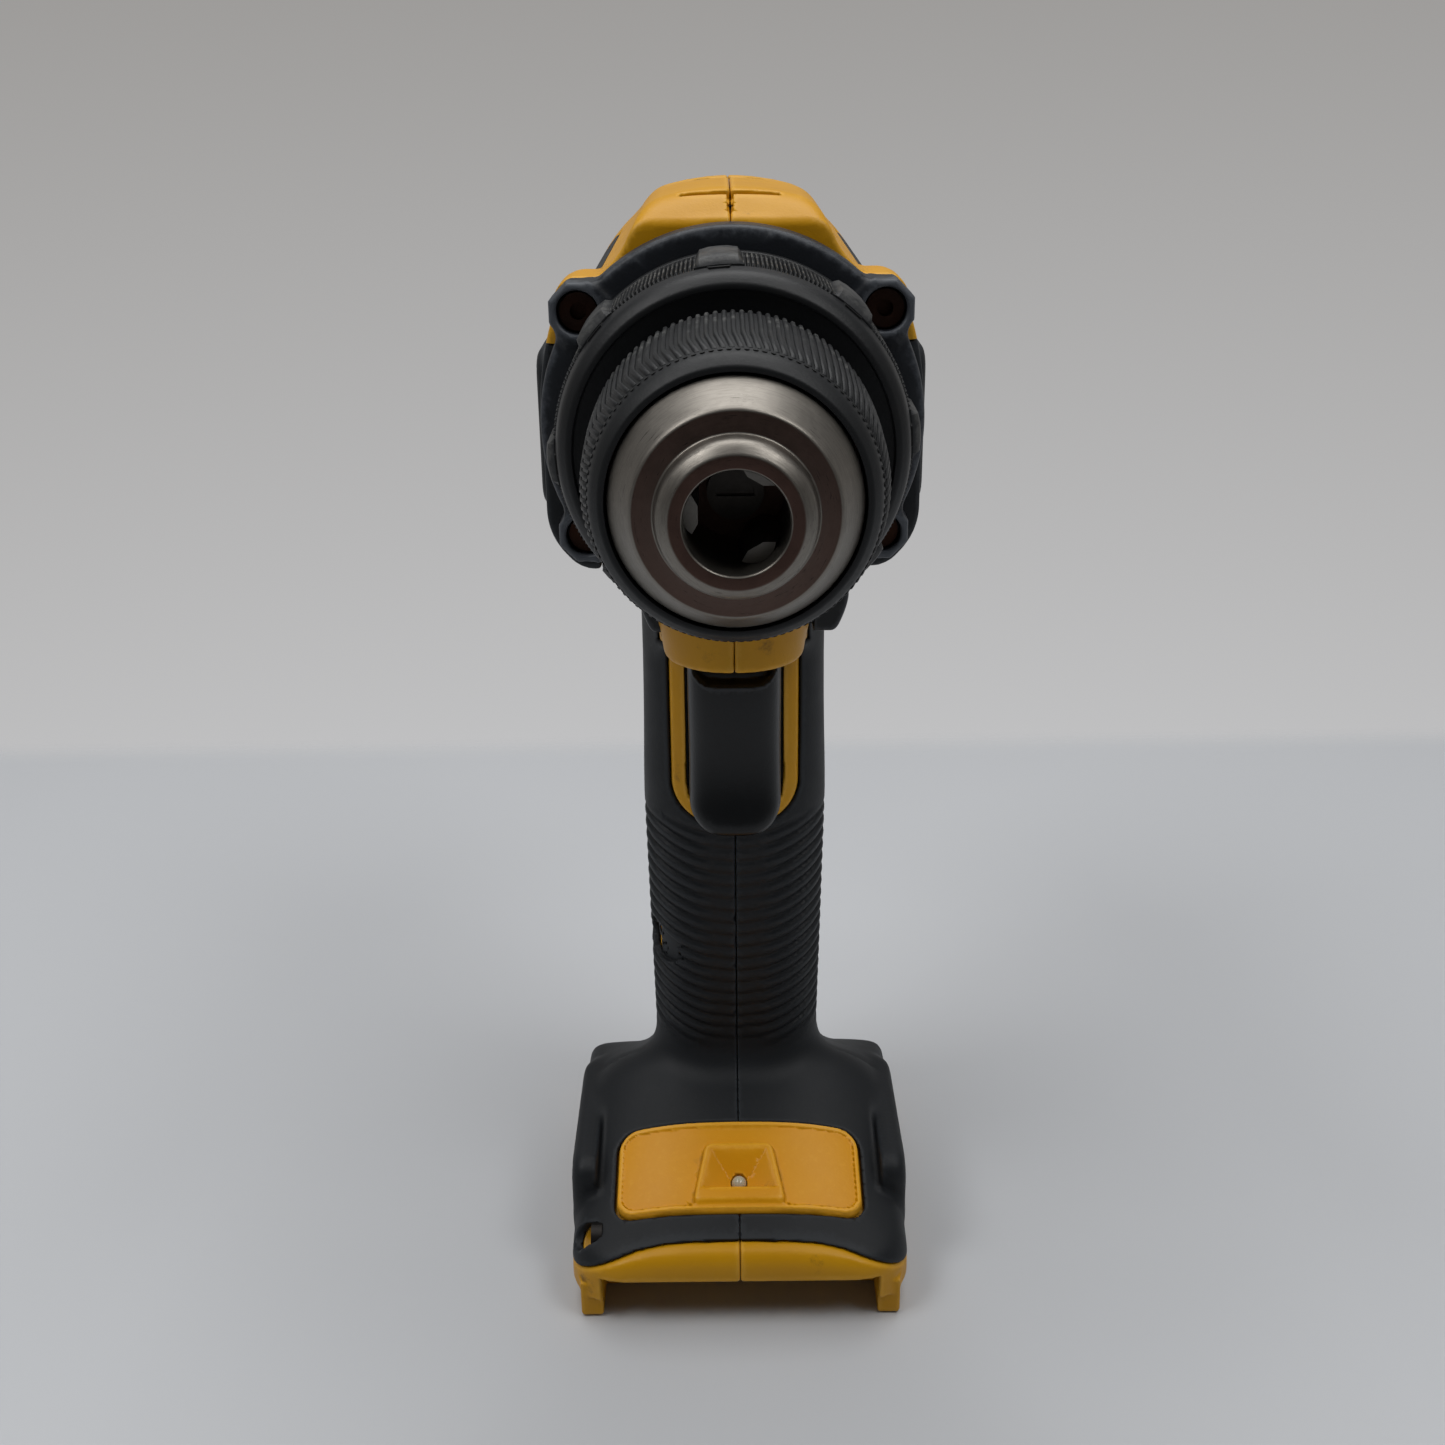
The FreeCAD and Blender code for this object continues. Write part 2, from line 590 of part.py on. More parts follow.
def trigger_parts():
    outer = block((-TRIGGER_HALF, TRIGGER_HALF), (TRIGGER_FRONT, -1.2), (TRIGGER_LOW, TRIGGER_HIGH))
    front_edges = [
        edge for edge in outer.Edges
        if edge.BoundBox.YMax < TRIGGER_FRONT + 0.1
    ]
    outer = outer.makeFillet(3.5, front_edges)
    flange = block((-10.6, 10.6), (-2.7, -1.2), (TRIGGER_LOW - 1.5, TRIGGER_HIGH + 1.5))
    pocket = block((-6.9, 6.9), (-16.2, 0), (TRIGGER_LOW + 2, TRIGGER_HIGH - 2))
    plunger = rod(3.0, -16.5, SWITCH_FRONT + 1.5, 0, PLUNGER_Z)
    save("trigger", joined([joined([outer, flange]).cut(pocket), plunger]))

    spring = coil_along_y(3.4, 0.45, -16.1, SWITCH_FRONT - 0.1, 7, SPRING_Z)
    save("trigger_spring", spring)

    module = block((-11, 11), (SWITCH_FRONT, 28.5), (96, 130))
    leads = [block((x - 1, x + 1), (27, 31), (100, 105)) for x in (-7, 0, 7)]
    module = joined([module] + leads)
    save("switch_module", module.cut(rod(3.1, 5, 24, 0, PLUNGER_Z)))

    x_low, x_high = BUTTON_OFFSET - BUTTON_HALF, BUTTON_OFFSET + BUTTON_HALF
    bar = block((x_low, x_high), (-14, -6), (138, 146))
    bar = bar.makeFillet(1.2, [e for e in bar.Edges if e.BoundBox.XLength < 1])
    arm = block((BUTTON_OFFSET - 2, BUTTON_OFFSET + 2), (-7, 12), (140, 143.5))
    finger = block((BUTTON_OFFSET - 1.5, BUTTON_OFFSET + 1.5), (9, 12), (130.4, 141))
    save("direction_button", joined([bar, arm, finger]))


# ---- foot: label plate, work light, battery contacts ----
FOOT_SLOPE = 0.4            # rise of the foot's top per mm towards the back
LABEL_HALF = 25.0
LABEL_FRONT = -27.6
LABEL_LENGTH = 20.5
LED_Y = -20.6
LED_R = 1.5
TERMINAL_FRONT = 22.0
TERMINAL_DEPTH = 12.0
BLADE_PLACES = (-9, -3, 3, 9)


def slope_z(y):
    """Height of the foot's sloping top."""
    return 17.0 + FOOT_SLOPE * (y + 36.0)


def label_form(gap):
    """The label plate's body, with a gap all round for its recess."""
    plate = block((-LABEL_HALF - gap, LABEL_HALF + gap), (-gap, LABEL_LENGTH + gap), (-1.2 - gap, 0.6))
    plate.rotate(
        FreeCAD.Vector(0, 0, 0), FreeCAD.Vector(1, 0, 0), math.degrees(math.atan(FOOT_SLOPE))
    )
    plate.translate(FreeCAD.Vector(0, LABEL_FRONT, slope_z(LABEL_FRONT)))
    return plate


def led_bar(radius, above):
    """A round bar along the lamp's aim, up and forward, ending above the slope."""
    aim = FreeCAD.Vector(0, -FOOT_SLOPE, 1).normalize()
    start = FreeCAD.Vector(0, LED_Y, slope_z(LED_Y) - 0.5).sub(aim * 5.5)
    return Part.makeCylinder(radius, 4.0 + above, start, aim)


def foot_parts():
    plate = label_form(0).cut(led_bar(2.2, 4))
    aim = FreeCAD.Vector(0, -FOOT_SLOPE, 1).normalize()
    mouth = FreeCAD.Vector(0, LED_Y, slope_z(LED_Y)).sub(aim * 1.3)
    plate = plate.cut(Part.makeCone(2.2, 6.5, 2.6, mouth, aim))
    save("label_plate", plate)

    lamp = led_bar(LED_R, 0)
    dome = Part.makeSphere(LED_R, FreeCAD.Vector(0, LED_Y, slope_z(LED_Y) - 0.5).sub(aim * 1.5))
    board = block((-4, 4), (LED_Y - 3, LED_Y + 3), (BAY_CEILING + 2.6, BAY_CEILING + 3.8))
    stem = block((-1, 1), (LED_Y + 0.4, LED_Y + 2.6), (BAY_CEILING + 3.7, 18.5))
    save("work_light", joined([lamp, dome, board, stem]))

    back = TERMINAL_FRONT + TERMINAL_DEPTH
    terminal = block((-16, 16), (TERMINAL_FRONT, back), (4, 17.7))
    slots = [
        block((x - 0.45, x + 0.45), (TERMINAL_FRONT - 1, back - 4), (5, 9.6)) for x in BLADE_PLACES
    ]
    save("terminal_block", terminal.cut(slots))
    blades = [
        block((x - 0.4, x + 0.4), (TERMINAL_FRONT - 14, back - 4.1), (5.1, 9.5))
        for x in BLADE_PLACES
    ]
    save("contact_blades", *blades)


# ---- housing and rubber ----
GRIP_STATIONS = (
    (152, 17.6, -7, 56, 12), (133, 17.6, -7, 50, 12), (115, 17.8, -7, 46, 12),
    (98, 18.3, -6, 43, 13), (65, 18.0, 0, 42, 13), (30, 17.6, 6, 46, 13),
)
NECK_STATIONS = (
    (168, 27.0, FLANGE_BACK, 70, 8), (147, 15.6, -25.5, 60, 8), (133.6, 12.2, -24, 20, 8),
)
FOOT_STATIONS = (
    (5, FOOT_HALF, -37, 46, 10), (17, FOOT_HALF, -36, 42, 10), (27, 31.5, -11, 27, 12),
    (35, 18.5, 4, 19, 4),
)
SHOULDER = [(18.2, 25.0), (22.4, 22.6), (26.8, 22.0), (31.4, 10.0), (31.4, -20.0), (26.0, -26.0)]


def body_form(inset):
    """The outside of the housing, or the same form shrunk by inset."""
    radius = BARREL_R - inset
    back = HALF_LENGTH - inset
    barrel = turned([
        (0, FLANGE_BACK), (radius, FLANGE_BACK), (radius, back - 14), (radius - 2.5, back - 7),
        (radius - 8, back - 1.5), (radius - 12, back), (0, back),
    ])
    top = AXIS_Z + HOOD_TOP - inset
    foot_x = 18.2 - inset
    roof = mirrored([(13.0 - inset * 0.6, top), (foot_x, AXIS_Z + 25.0), (foot_x, AXIS_Z)])
    side_view = [
        (FLANGE_BACK, AXIS_Z), (FLANGE_BACK, top - 4.6), (-22, top - 1.1), (-14, top),
        (48, top), (64, top - 2), (82, top - 10), (82, AXIS_Z),
    ]
    hood = prism(roof, FLANGE_BACK, 90).common(side_prism(side_view, -40, 40))
    shoulders = prism(
        [(x - math.copysign(inset, x), AXIS_Z + z * (1 - inset / 31.0))
         for x, z in mirrored(SHOULDER)],
        FLANGE_BACK, 58 - inset,
    )
    forms = [barrel, hood, shoulders]
    forms += [stacked(stations, inset) for stations in (NECK_STATIONS, GRIP_STATIONS)]
    forms.append(stacked(FOOT_STATIONS, inset))
    return joined(forms)


# screws that close the two housing halves: y, z, outer face at -X, boss radius, shank
HOUSING_SCREWS = (
    (76.4, 202, 19.5, 4.0), (76.4, 158, 19.5, 4.0), (36, 126, 17.0, 4.0), (12, 62, 17.5, 4.0),
    (-28, 14.8, 33.0, 3.0), (37, 14.4, 33.0, 3.0),
)
HEAD_R = 2.8
SHANK_R = 1.5
HEAD_DEPTH = 3.2            # screw heads below the outer face
HEAD_HEIGHT = 2.2
SHANK_LENGTH = 22.0


def rubber_form(outer, inner):
    """The overmould: the outer skin of the grip and of the foot."""
    skin = outer.cut(inner)
    grip_zone = block((-40, 40), (-7.5, 60), (36, 132)).cut(
        block((-12.5, 12.5), (-20, 4), (96, 140))
    )
    foot_zone = block((-40, 40), (-40, 60), (17.2, 36))
    side_zone = block((-40, 40), (-24, 38), (7, 17.2)).cut(
        block((-32.2, 32.2), (-40, 60), (0, 30))
    )
    window = label_form(0.3)
    return skin.common(joined([grip_zone, foot_zone, side_zone])).cut(window)


def side_pads():
    """Rubber bumpers on both sides of the motor housing."""
    pads = []
    for side in (-1, 1):
        low, high = sorted((side * 31.4, side * HALF_WIDTH))
        pad = block((low, high), (-6, 52), (AXIS_Z - 21.5, AXIS_Z + 8))
        outer = [e for e in pad.Edges
                 if abs(e.BoundBox.XMin - side * HALF_WIDTH) < 0.01 and e.BoundBox.XLength < 0.01]
        pads.append(pad.makeChamfer(1.6, outer))
    return pads


def housing_parts():
    outer = body_form(0)
    inside = body_form(SKIN)
    rubber = rubber_form(outer, inside)
    hollow = body_form(WALL + SKIN)
    floor = block((-40, 40), (-60, 70), (-5, 13.2))
    front_wall = block((-40, 40), (-60, -5), (100, 131.5))
    barrel_hollow = rod(BARREL_R - WALL, FLANGE_BACK - 1, HALF_LENGTH - 8)
    hood_hollow = block((-11, 11), (-22, 45), (AXIS_Z, AXIS_Z + HOOD_TOP - 3))
    cavity = joined([hollow.cut([floor, front_wall]), barrel_hollow, hood_hollow])
    shell = outer.cut([rubber, cavity])

    rings = [
        tube(29, GEARCASE_R + 0.1, -23, -20), tube(29, GEARCASE_R + 0.1, 2, 5),
        tube(29, MOTOR_R + RUNNING, 24, 27), tube(29, MOTOR_R + RUNNING, 56, 59),
    ]
    rings = [ring.cut(block((-10, 10), (-30, 70), (AXIS_Z, AXIS_Z + 40))) for ring in rings]
    bosses, holes, screws = [], [], []
    for y, z, face, boss_r in HOUSING_SCREWS:
        bosses.append(cross_rod(boss_r, -face + 1, face - 1, y, z).common(inside))
        seat = -face + HEAD_DEPTH + HEAD_HEIGHT
        holes.append(cross_rod(SHANK_R + RUNNING, seat - 1, seat + SHANK_LENGTH + 1, y, z))
        holes.append(cross_rod(HEAD_R + 0.2, -40, seat, y, z))
        head = cross_rod(HEAD_R, seat - HEAD_HEIGHT, seat, y, z)
        socket = cross_rod(1.2, seat - 3, seat - 0.8, y, z)
        screws.append(joined([head.cut(socket), cross_rod(SHANK_R, seat, seat + SHANK_LENGTH, y, z)]))
    save("housing_screws", *screws)

    ear_bosses = [rod(4.2, FLANGE_BACK, -10, x, z) for x, z in ear_spots()]
    holes += [rod(1.6 + RUNNING, -30, -11, x, z) for x, z in ear_spots()]
    legs = []
    for side in (-1, 1):
        wall = sorted((side * LEG_HALF, side * (LEG_HALF - LEG_WALL)))
        lip = sorted((side * (LEG_HALF - 1), side * (LEG_HALF - LEG_WALL - 3)))
        legs.append(block(wall, (-34, LEG_BACK), (0, 6)))
        legs.append(block(lip, (-25, LEG_BACK), (0, 2.2)))
    bay = block((LEG_WALL - LEG_HALF, LEG_HALF - LEG_WALL), (-60, LEG_BACK - 3), (-1, BAY_CEILING))
    bay = bay.cut([leg for leg in legs[1::2]])

    windows = [
        bay,
        block((-9, 9), (-12, 8), (TRIGGER_LOW - 0.4, TRIGGER_HIGH + 0.4)),
        block((-11, 11), (-2.9, 6.4), (96, 135)),
        block((-40, 40), (-14.4, -5.6), (137.6, 146.4)),
        block((-3.5, 7.5), (-8, 14), (132, 144.5)),
        block((-6.4, 6.4), (6.2, 26.2), (AXIS_Z + 30, AXIS_Z + 40)),
        block((-9.4, 9.4), (-13, 31), (AXIS_Z + 28.4, AXIS_Z + 31.2)),
        block((-16.3, 16.3), (TERMINAL_FRONT - FREE, TERMINAL_FRONT + TERMINAL_DEPTH + FREE), (0, 18)),
        label_form(0.1),
        led_bar(1.7, 2.0),
        block((-4.2, 4.2), (LED_Y - 3.2, LED_Y + 3.2), (BAY_CEILING + 2.5, 16.5)),
    ]
    for side in (-1, 1):
        span = sorted((side * 20, side * 40))
        windows += [block(span, (66 + 4 * row, 68 + 4 * row), (AXIS_Z - 9, AXIS_Z + 9))
                    for row in range(4)]
        windows += [block(span, (12 + 4 * row, 14 + 4 * row), (AXIS_Z + 10.5, AXIS_Z + 19))
                    for row in range(4)]
    whole = joined([shell] + rings + bosses + ear_bosses + legs)
    whole = whole.cut(windows + holes)
    halves = {"left": block((0, 60), (-100, 100), (-10, 230)),
              "right": block((-60, 0), (-100, 100), (-10, 230))}
    pads = {"right": side_pads()[0], "left": side_pads()[1]}
    rubber = rubber.cut(holes)
    for side, region in halves.items():
        save(f"housing_{side}", whole.common(region))
        save(f"overmould_{side}", rubber.common(region), pads[side])


os.makedirs("parts", exist_ok=True)
chuck_parts()
clutch_parts()
gearcase_parts()
speed_selector_parts()
motor_parts()
trigger_parts()
housing_parts()
foot_parts()
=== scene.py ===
import json
import math

import bmesh
import bpy
import numpy as np
import openvdb
from mathutils import Matrix, Vector


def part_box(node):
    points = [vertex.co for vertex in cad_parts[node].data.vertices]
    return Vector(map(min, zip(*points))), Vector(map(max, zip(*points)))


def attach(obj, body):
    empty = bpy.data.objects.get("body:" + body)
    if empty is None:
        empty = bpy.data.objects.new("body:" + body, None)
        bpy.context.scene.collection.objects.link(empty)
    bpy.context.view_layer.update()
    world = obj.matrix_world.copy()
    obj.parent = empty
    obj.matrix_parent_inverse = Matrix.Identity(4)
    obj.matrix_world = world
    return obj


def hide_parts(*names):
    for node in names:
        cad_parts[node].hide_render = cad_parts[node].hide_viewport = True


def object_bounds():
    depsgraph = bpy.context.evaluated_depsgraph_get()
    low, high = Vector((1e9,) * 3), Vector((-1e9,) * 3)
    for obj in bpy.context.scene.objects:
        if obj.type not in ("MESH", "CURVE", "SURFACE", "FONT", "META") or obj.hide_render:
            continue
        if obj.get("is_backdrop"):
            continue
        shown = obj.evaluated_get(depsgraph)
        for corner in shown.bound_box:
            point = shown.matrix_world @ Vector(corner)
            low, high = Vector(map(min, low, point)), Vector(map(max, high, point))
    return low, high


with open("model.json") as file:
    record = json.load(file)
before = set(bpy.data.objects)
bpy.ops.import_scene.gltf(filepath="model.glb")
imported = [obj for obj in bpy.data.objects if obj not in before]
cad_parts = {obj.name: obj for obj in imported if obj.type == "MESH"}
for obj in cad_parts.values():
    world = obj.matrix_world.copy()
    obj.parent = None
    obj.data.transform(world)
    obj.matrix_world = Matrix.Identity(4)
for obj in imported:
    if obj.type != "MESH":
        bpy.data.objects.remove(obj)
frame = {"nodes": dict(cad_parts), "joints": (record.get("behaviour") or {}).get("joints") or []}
cad_low, cad_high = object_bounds()
NODES = frame["nodes"]
MM = 0.001

# ---- motor ----------------------------------------------------------------------------------
# A brushed permanent-magnet motor: a pressed zinc-plated can, ferrite magnets, a stack of
# lacquered laminations wound with enamelled copper, and a nylon end cap with carbon brushes.


def linear(hex_colour):
    """An sRGB hex colour as the linear colour that a shader takes."""
    channels = [int(hex_colour[k:k + 2], 16) / 255 for k in (1, 3, 5)]
    return tuple(((c + 0.055) / 1.055) ** 2.4 if c > 0.04045 else c / 12.92
                 for c in channels) + (1.0,)


def add(tree, kind, settings=None, links=None):
    """Adds a node with its settings, which are attributes or input values, and its links."""
    node = tree.nodes.new(kind)
    for key, value in (settings or {}).items():
        if isinstance(key, int) or key in node.inputs:
            node.inputs[key].default_value = value
        else:
            setattr(node, key, value)
    for key, socket in (links or {}).items():
        tree.links.new(socket, node.inputs[key])
    return node


def new_material(name, shader_settings):
    """A material with one Principled shader, and object coordinates in millimetres."""
    material = bpy.data.materials.new(name)
    material.use_nodes = True
    tree = material.node_tree
    shader = tree.nodes["Principled BSDF"]
    for key, value in shader_settings.items():
        shader.inputs[key].default_value = value
    place = add(tree, "ShaderNodeTexCoord")
    metric = add(tree, "ShaderNodeVectorMath", {"operation": "SCALE", "Scale": 1 / MM},
                 {0: place.outputs["Object"]})
    return material, tree, shader, metric.outputs[0]


def bare_metal(name, light, dark, roughness, grain_mm, relief_mm, metallic=1.0):
    """Metal with a fine grain: mottled between two tones, and rougher where it is dull."""
    material, tree, shader, place = new_material(name, {"Metallic": metallic})
    grain = add(tree, "ShaderNodeTexNoise", {"Scale": 1 / grain_mm, "Detail": 3.0}, {0: place})
    cloud = add(tree, "ShaderNodeTexNoise", {"Scale": 0.25, "Detail": 4.0}, {0: place})
    tone = add(tree, "ShaderNodeMix", {"data_type": "RGBA", 6: linear(light), 7: linear(dark)},
               {0: cloud.outputs[0]})
    tree.links.new(tone.outputs[2], shader.inputs["Base Color"])
    dull = add(tree, "ShaderNodeMapRange", {"To Min": roughness - 0.1, "To Max": roughness + 0.1},
               {"Value": grain.outputs[0]})
    tree.links.new(dull.outputs[0], shader.inputs["Roughness"])
    bump = add(tree, "ShaderNodeBump", {"Strength": 0.5, "Distance": relief_mm * MM},
               {"Height": grain.outputs[0]})
    tree.links.new(bump.outputs[0], shader.inputs["Normal"])
    return material


def moulded(name, colour, shade, roughness, texture_mm, worn, dirt, wear=0.5, soil=0.5):
    """Moulded plastic: mould texture, clouded colour, pale worn edges and dirt in the corners.

    The "edge" attribute of a piece is positive along its outside edges and negative in its
    corners. Where a mesh has none it reads as zero, and only the loose marks show.
    """
    material, tree, shader, place = new_material(name, {"IOR": 1.5, "Specular IOR Level": 0.3})
    cloud = add(tree, "ShaderNodeTexNoise", {"Scale": 0.07, "Detail": 5.0}, {0: place})
    speck = add(tree, "ShaderNodeTexNoise", {"Scale": 0.8, "Detail": 6.0, "Roughness": 0.65},
                {0: place})
    texture = add(tree, "ShaderNodeTexNoise", {"Scale": 1 / texture_mm, "Detail": 2.0},
                  {0: place})
    base = add(tree, "ShaderNodeMix",
               {"data_type": "RGBA", 6: linear(colour), 7: linear(shade)}, {0: cloud.outputs[0]})
    edge = add(tree, "ShaderNodeAttribute", {"attribute_name": "edge"})
    rubbed = add(tree, "ShaderNodeMath", {"operation": "MULTIPLY_ADD", 1: 0.22},
                 {0: speck.outputs[0], 2: edge.outputs["Fac"]})
    worn_mask = add(tree, "ShaderNodeMapRange",
                    {"interpolation_type": "SMOOTHSTEP", "From Min": 0.17, "From Max": 0.30,
                     "To Max": wear}, {"Value": rubbed.outputs[0]})
    with_wear = add(tree, "ShaderNodeMix", {"data_type": "RGBA", 7: linear(worn)},
                    {0: worn_mask.outputs[0], 6: base.outputs[2]})
    patch = add(tree, "ShaderNodeTexNoise", {"Scale": 0.11, "Detail": 8.0, "Roughness": 0.72},
                {0: place})
    sheltered = add(tree, "ShaderNodeMath", {"operation": "MULTIPLY_ADD", 1: -0.8},
                    {0: edge.outputs["Fac"], 2: patch.outputs[0]})
    dirt_mask = add(tree, "ShaderNodeMapRange",
                    {"interpolation_type": "SMOOTHSTEP", "From Min": 0.56, "From Max": 0.74,
                     "To Max": soil}, {"Value": sheltered.outputs[0]})
    with_dirt = add(tree, "ShaderNodeMix", {"data_type": "RGBA", 7: linear(dirt)},
                    {0: dirt_mask.outputs[0], 6: with_wear.outputs[2]})
    tree.links.new(with_dirt.outputs[2], shader.inputs["Base Color"])
    gloss = add(tree, "ShaderNodeMapRange",
                {"To Min": roughness - 0.08, "To Max": roughness + 0.12},
                {"Value": patch.outputs[0]})
    tree.links.new(gloss.outputs[0], shader.inputs["Roughness"])
    bump = add(tree, "ShaderNodeBump", {"Strength": 0.6, "Distance": 0.05 * MM},
               {"Height": texture.outputs[0]})
    tree.links.new(bump.outputs[0], shader.inputs["Normal"])
    return material


def finish_nodes(material, *names):
    """Gives CAD nodes their finished material."""
    for name in names:
        slots = NODES[name].data.materials
        if not len(slots):
            slots.append(material)
        for place in range(len(slots)):
            slots[place] = material


# Zinc plating over steel looks pale and faintly mottled; the grain is drawn at 0.6 mm.
zinc_can = bare_metal("zinc_plated_steel", "#9FA3A6", "#7D8286", 0.38, 0.6, 0.02)
ferrite = bare_metal("ferrite", "#2B2C2E", "#1C1D1E", 0.6, 0.5, 0.03, 0.0)
lamination = bare_metal("lacquered_laminations", "#5A5D60", "#3F4346", 0.45, 0.5, 0.02)
copper = bare_metal("enamelled_copper", "#B4632F", "#8E4520", 0.35, 0.45, 0.05)
bronze = bare_metal("sintered_bronze", "#9C7443", "#6E4E2A", 0.5, 0.4, 0.03)
carbon = bare_metal("pressed_carbon", "#26272A", "#17181A", 0.55, 0.4, 0.02, 0.0)
black_nylon = moulded("glass_filled_nylon_black", "#141618", "#101112", 0.5, 0.4,
                      "#3A3B3C", "#2C2823")
finish_nodes(zinc_can, "motor_can", "motor_mount_plate")
finish_nodes(ferrite, "motor_magnets")
finish_nodes(lamination, "armature_core")
finish_nodes(copper, "armature_windings", "commutator", "contact_blades")
finish_nodes(bronze, "rear_bearing")
finish_nodes(carbon, "carbon_brushes")
finish_nodes(black_nylon, "motor_fan", "brush_holder", "switch_module", "terminal_block")

# ---- gear train -----------------------------------------------------------------------------
# Three planetary stages. The first stage's planets are moulded white nylon for quietness; the
# others, the rings and the carriers are sintered steel, dark and a little porous, with grease.
sintered = bare_metal("sintered_steel", "#77746E", "#55524D", 0.42, 0.35, 0.03)
ground = bare_metal("ground_steel", "#A6A6A6", "#8A8A8A", 0.22, 0.5, 0.01)
white_nylon = moulded("white_nylon", "#D9D5C6", "#CBC6B4", 0.4, 0.4, "#E8E5DA", "#8C7F5E")
spring_wire = bare_metal("spring_steel", "#83858A", "#63656A", 0.3, 0.4, 0.01)
grey_acetal = moulded("grey_acetal", "#B5B6B2", "#A5A6A2", 0.38, 0.4, "#CFCFCB", "#6F6552")
for name in NODES:
    if name.startswith("planet_gear_1"):
        finish_nodes(white_nylon, name)
    elif name.startswith(("planet_", "ring_gear", "pinion")):
        finish_nodes(sintered, name)
finish_nodes(ground, "output_spindle", "motor_shaft", "front_bearing", "clutch_pins",
             "clutch_washer")
finish_nodes(spring_wire, "clutch_spring", "detent_spring", "collar_retainer",
             "trigger_spring", "brush_springs", "shift_wire")
finish_nodes(grey_acetal, "clutch_nut")

# ---- gear housing ---------------------------------------------------------------------------
# One moulding of dark glass-filled nylon. Its front flange shows between the clutch collar and
# the yellow shells, and four ears on it take the long screws that hold it to them.
AXIS_Z = frame["joints"][0]["pos_m"][2] / MM
FLANGE_FRONT = -34.0
FLANGE_BACK = -27.0
FLANGE_R = 31.0
EAR_X = 24.2
EAR_Z = 18.0
EAR_R = 4.6
EAR_POCKET_R = 3.4                  # room for a screw head in each ear
EAR_HOLE_R = 1.8
SNOUT_R = 17.0                      # carries the front bearing, inside the collar
GEAR_ROOM_R = 24.5                  # the part inside the yellow shells


def soft_max(a, b, blend):
    """The larger of two forms, rounded over where they meet: what both hold."""
    return np.maximum(a, b) + np.maximum(blend - np.abs(a - b), 0) ** 2 / (4 * blend)


def soft_min(a, b, blend):
    """The smaller of two forms, filleted where they meet: what either holds."""
    return -soft_max(-a, -b, blend)


def between(value, low, high):
    """Negative from low to high."""
    return np.maximum(low - value, value - high)


def surface_of(form, low, high, step, adaptivity=0.01):
    """Points and faces, in millimetres, of the surface where form(x, y, z) is zero.

    The form is negative inside. The grid finds the surface roughly, then each point slides
    along the form's slope until it lies on the surface. No point may leave the design's box.
    """
    axes = [np.arange(a, b + step, step, dtype=np.float32) for a, b in zip(low, high)]
    x, y, z = np.meshgrid(*axes, indexing="ij", sparse=True)
    shape = tuple(len(axis) for axis in axes)
    values = np.broadcast_to(form(x, y, z), shape).astype(np.float32)
    grid = openvdb.FloatGrid(2 * step)
    grid.copyFromArray(np.clip(values, -2 * step, 2 * step))
    points, triangles, quads = grid.convertToPolygons(adaptivity=adaptivity)
    points = points.astype(float) * step + np.array([axis[0] for axis in axes])
    for _ in range(3):
        slope = slope_of(form, points)
        squared = np.maximum((slope ** 2).sum(axis=1), 0.05)
        move = -(form(*points.T) / squared)[:, None] * slope
        length = np.linalg.norm(move, axis=1, keepdims=True)
        points = points + move * np.minimum(1, 0.4 * step / np.maximum(length, 1e-9))
    points = np.clip(points, np.array(cad_low) / MM, np.array(cad_high) / MM)
    return points, [list(f) for f in triangles] + [list(f) for f in quads]


def slope_of(form, points, reach=0.05):
    """The direction in which a form grows fastest, at each point."""
    x, y, z = points.T
    return np.stack([
        form(x + reach, y, z) - form(x - reach, y, z),
        form(x, y + reach, z) - form(x, y - reach, z),
        form(x, y, z + reach) - form(x, y, z - reach),
    ], axis=1) / (2 * reach)


def formed_piece(name, form, low, high, step, material, adaptivity=0.01):
    """A mesh object on a form's surface, shaded by the form and marked with its edges."""
    points, faces = surface_of(form, low, high, step, adaptivity)
    mesh = bpy.data.meshes.new(name)
    mesh.from_pydata((points * MM).tolist(), [], faces)
    corner_points = points[[f[0] for f in faces]]
    normals = np.zeros(len(faces) * 3)
    mesh.polygons.foreach_get("normal", normals)
    outward = (normals.reshape(-1, 3) * slope_of(form, corner_points, 0.2)).sum()
    if outward < 0:
        mesh.flip_normals()
    mesh.materials.append(material)
    mesh.polygons.foreach_set("use_smooth", [True] * len(faces))
    slope = slope_of(form, points, 0.12)
    slope /= np.maximum(np.linalg.norm(slope, axis=1, keepdims=True), 1e-9)
    mesh.normals_split_custom_set_from_vertices(slope.tolist())
    reach = 1.0
    x, y, z = points.T
    around = sum(form(x + dx, y + dy, z + dz) for dx, dy, dz in (
        (reach, 0, 0), (-reach, 0, 0), (0, reach, 0), (0, -reach, 0), (0, 0, reach),
        (0, 0, -reach)))
    edge = mesh.attributes.new("edge", "FLOAT", "POINT")
    edge.data.foreach_set("value", np.clip(around / 6 / reach, -1, 1))
    piece = bpy.data.objects.new(name, mesh)
    bpy.context.scene.collection.objects.link(piece)
    print(name, len(faces), "faces")
    return piece


def settle(piece, body, slot, *nodes):
    """The piece rides on its body and stands for the CAD nodes it is drawn from."""
    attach(piece, body)
    if nodes:
        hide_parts(*nodes)


FINE = 0.45
ROUGH = 0.52


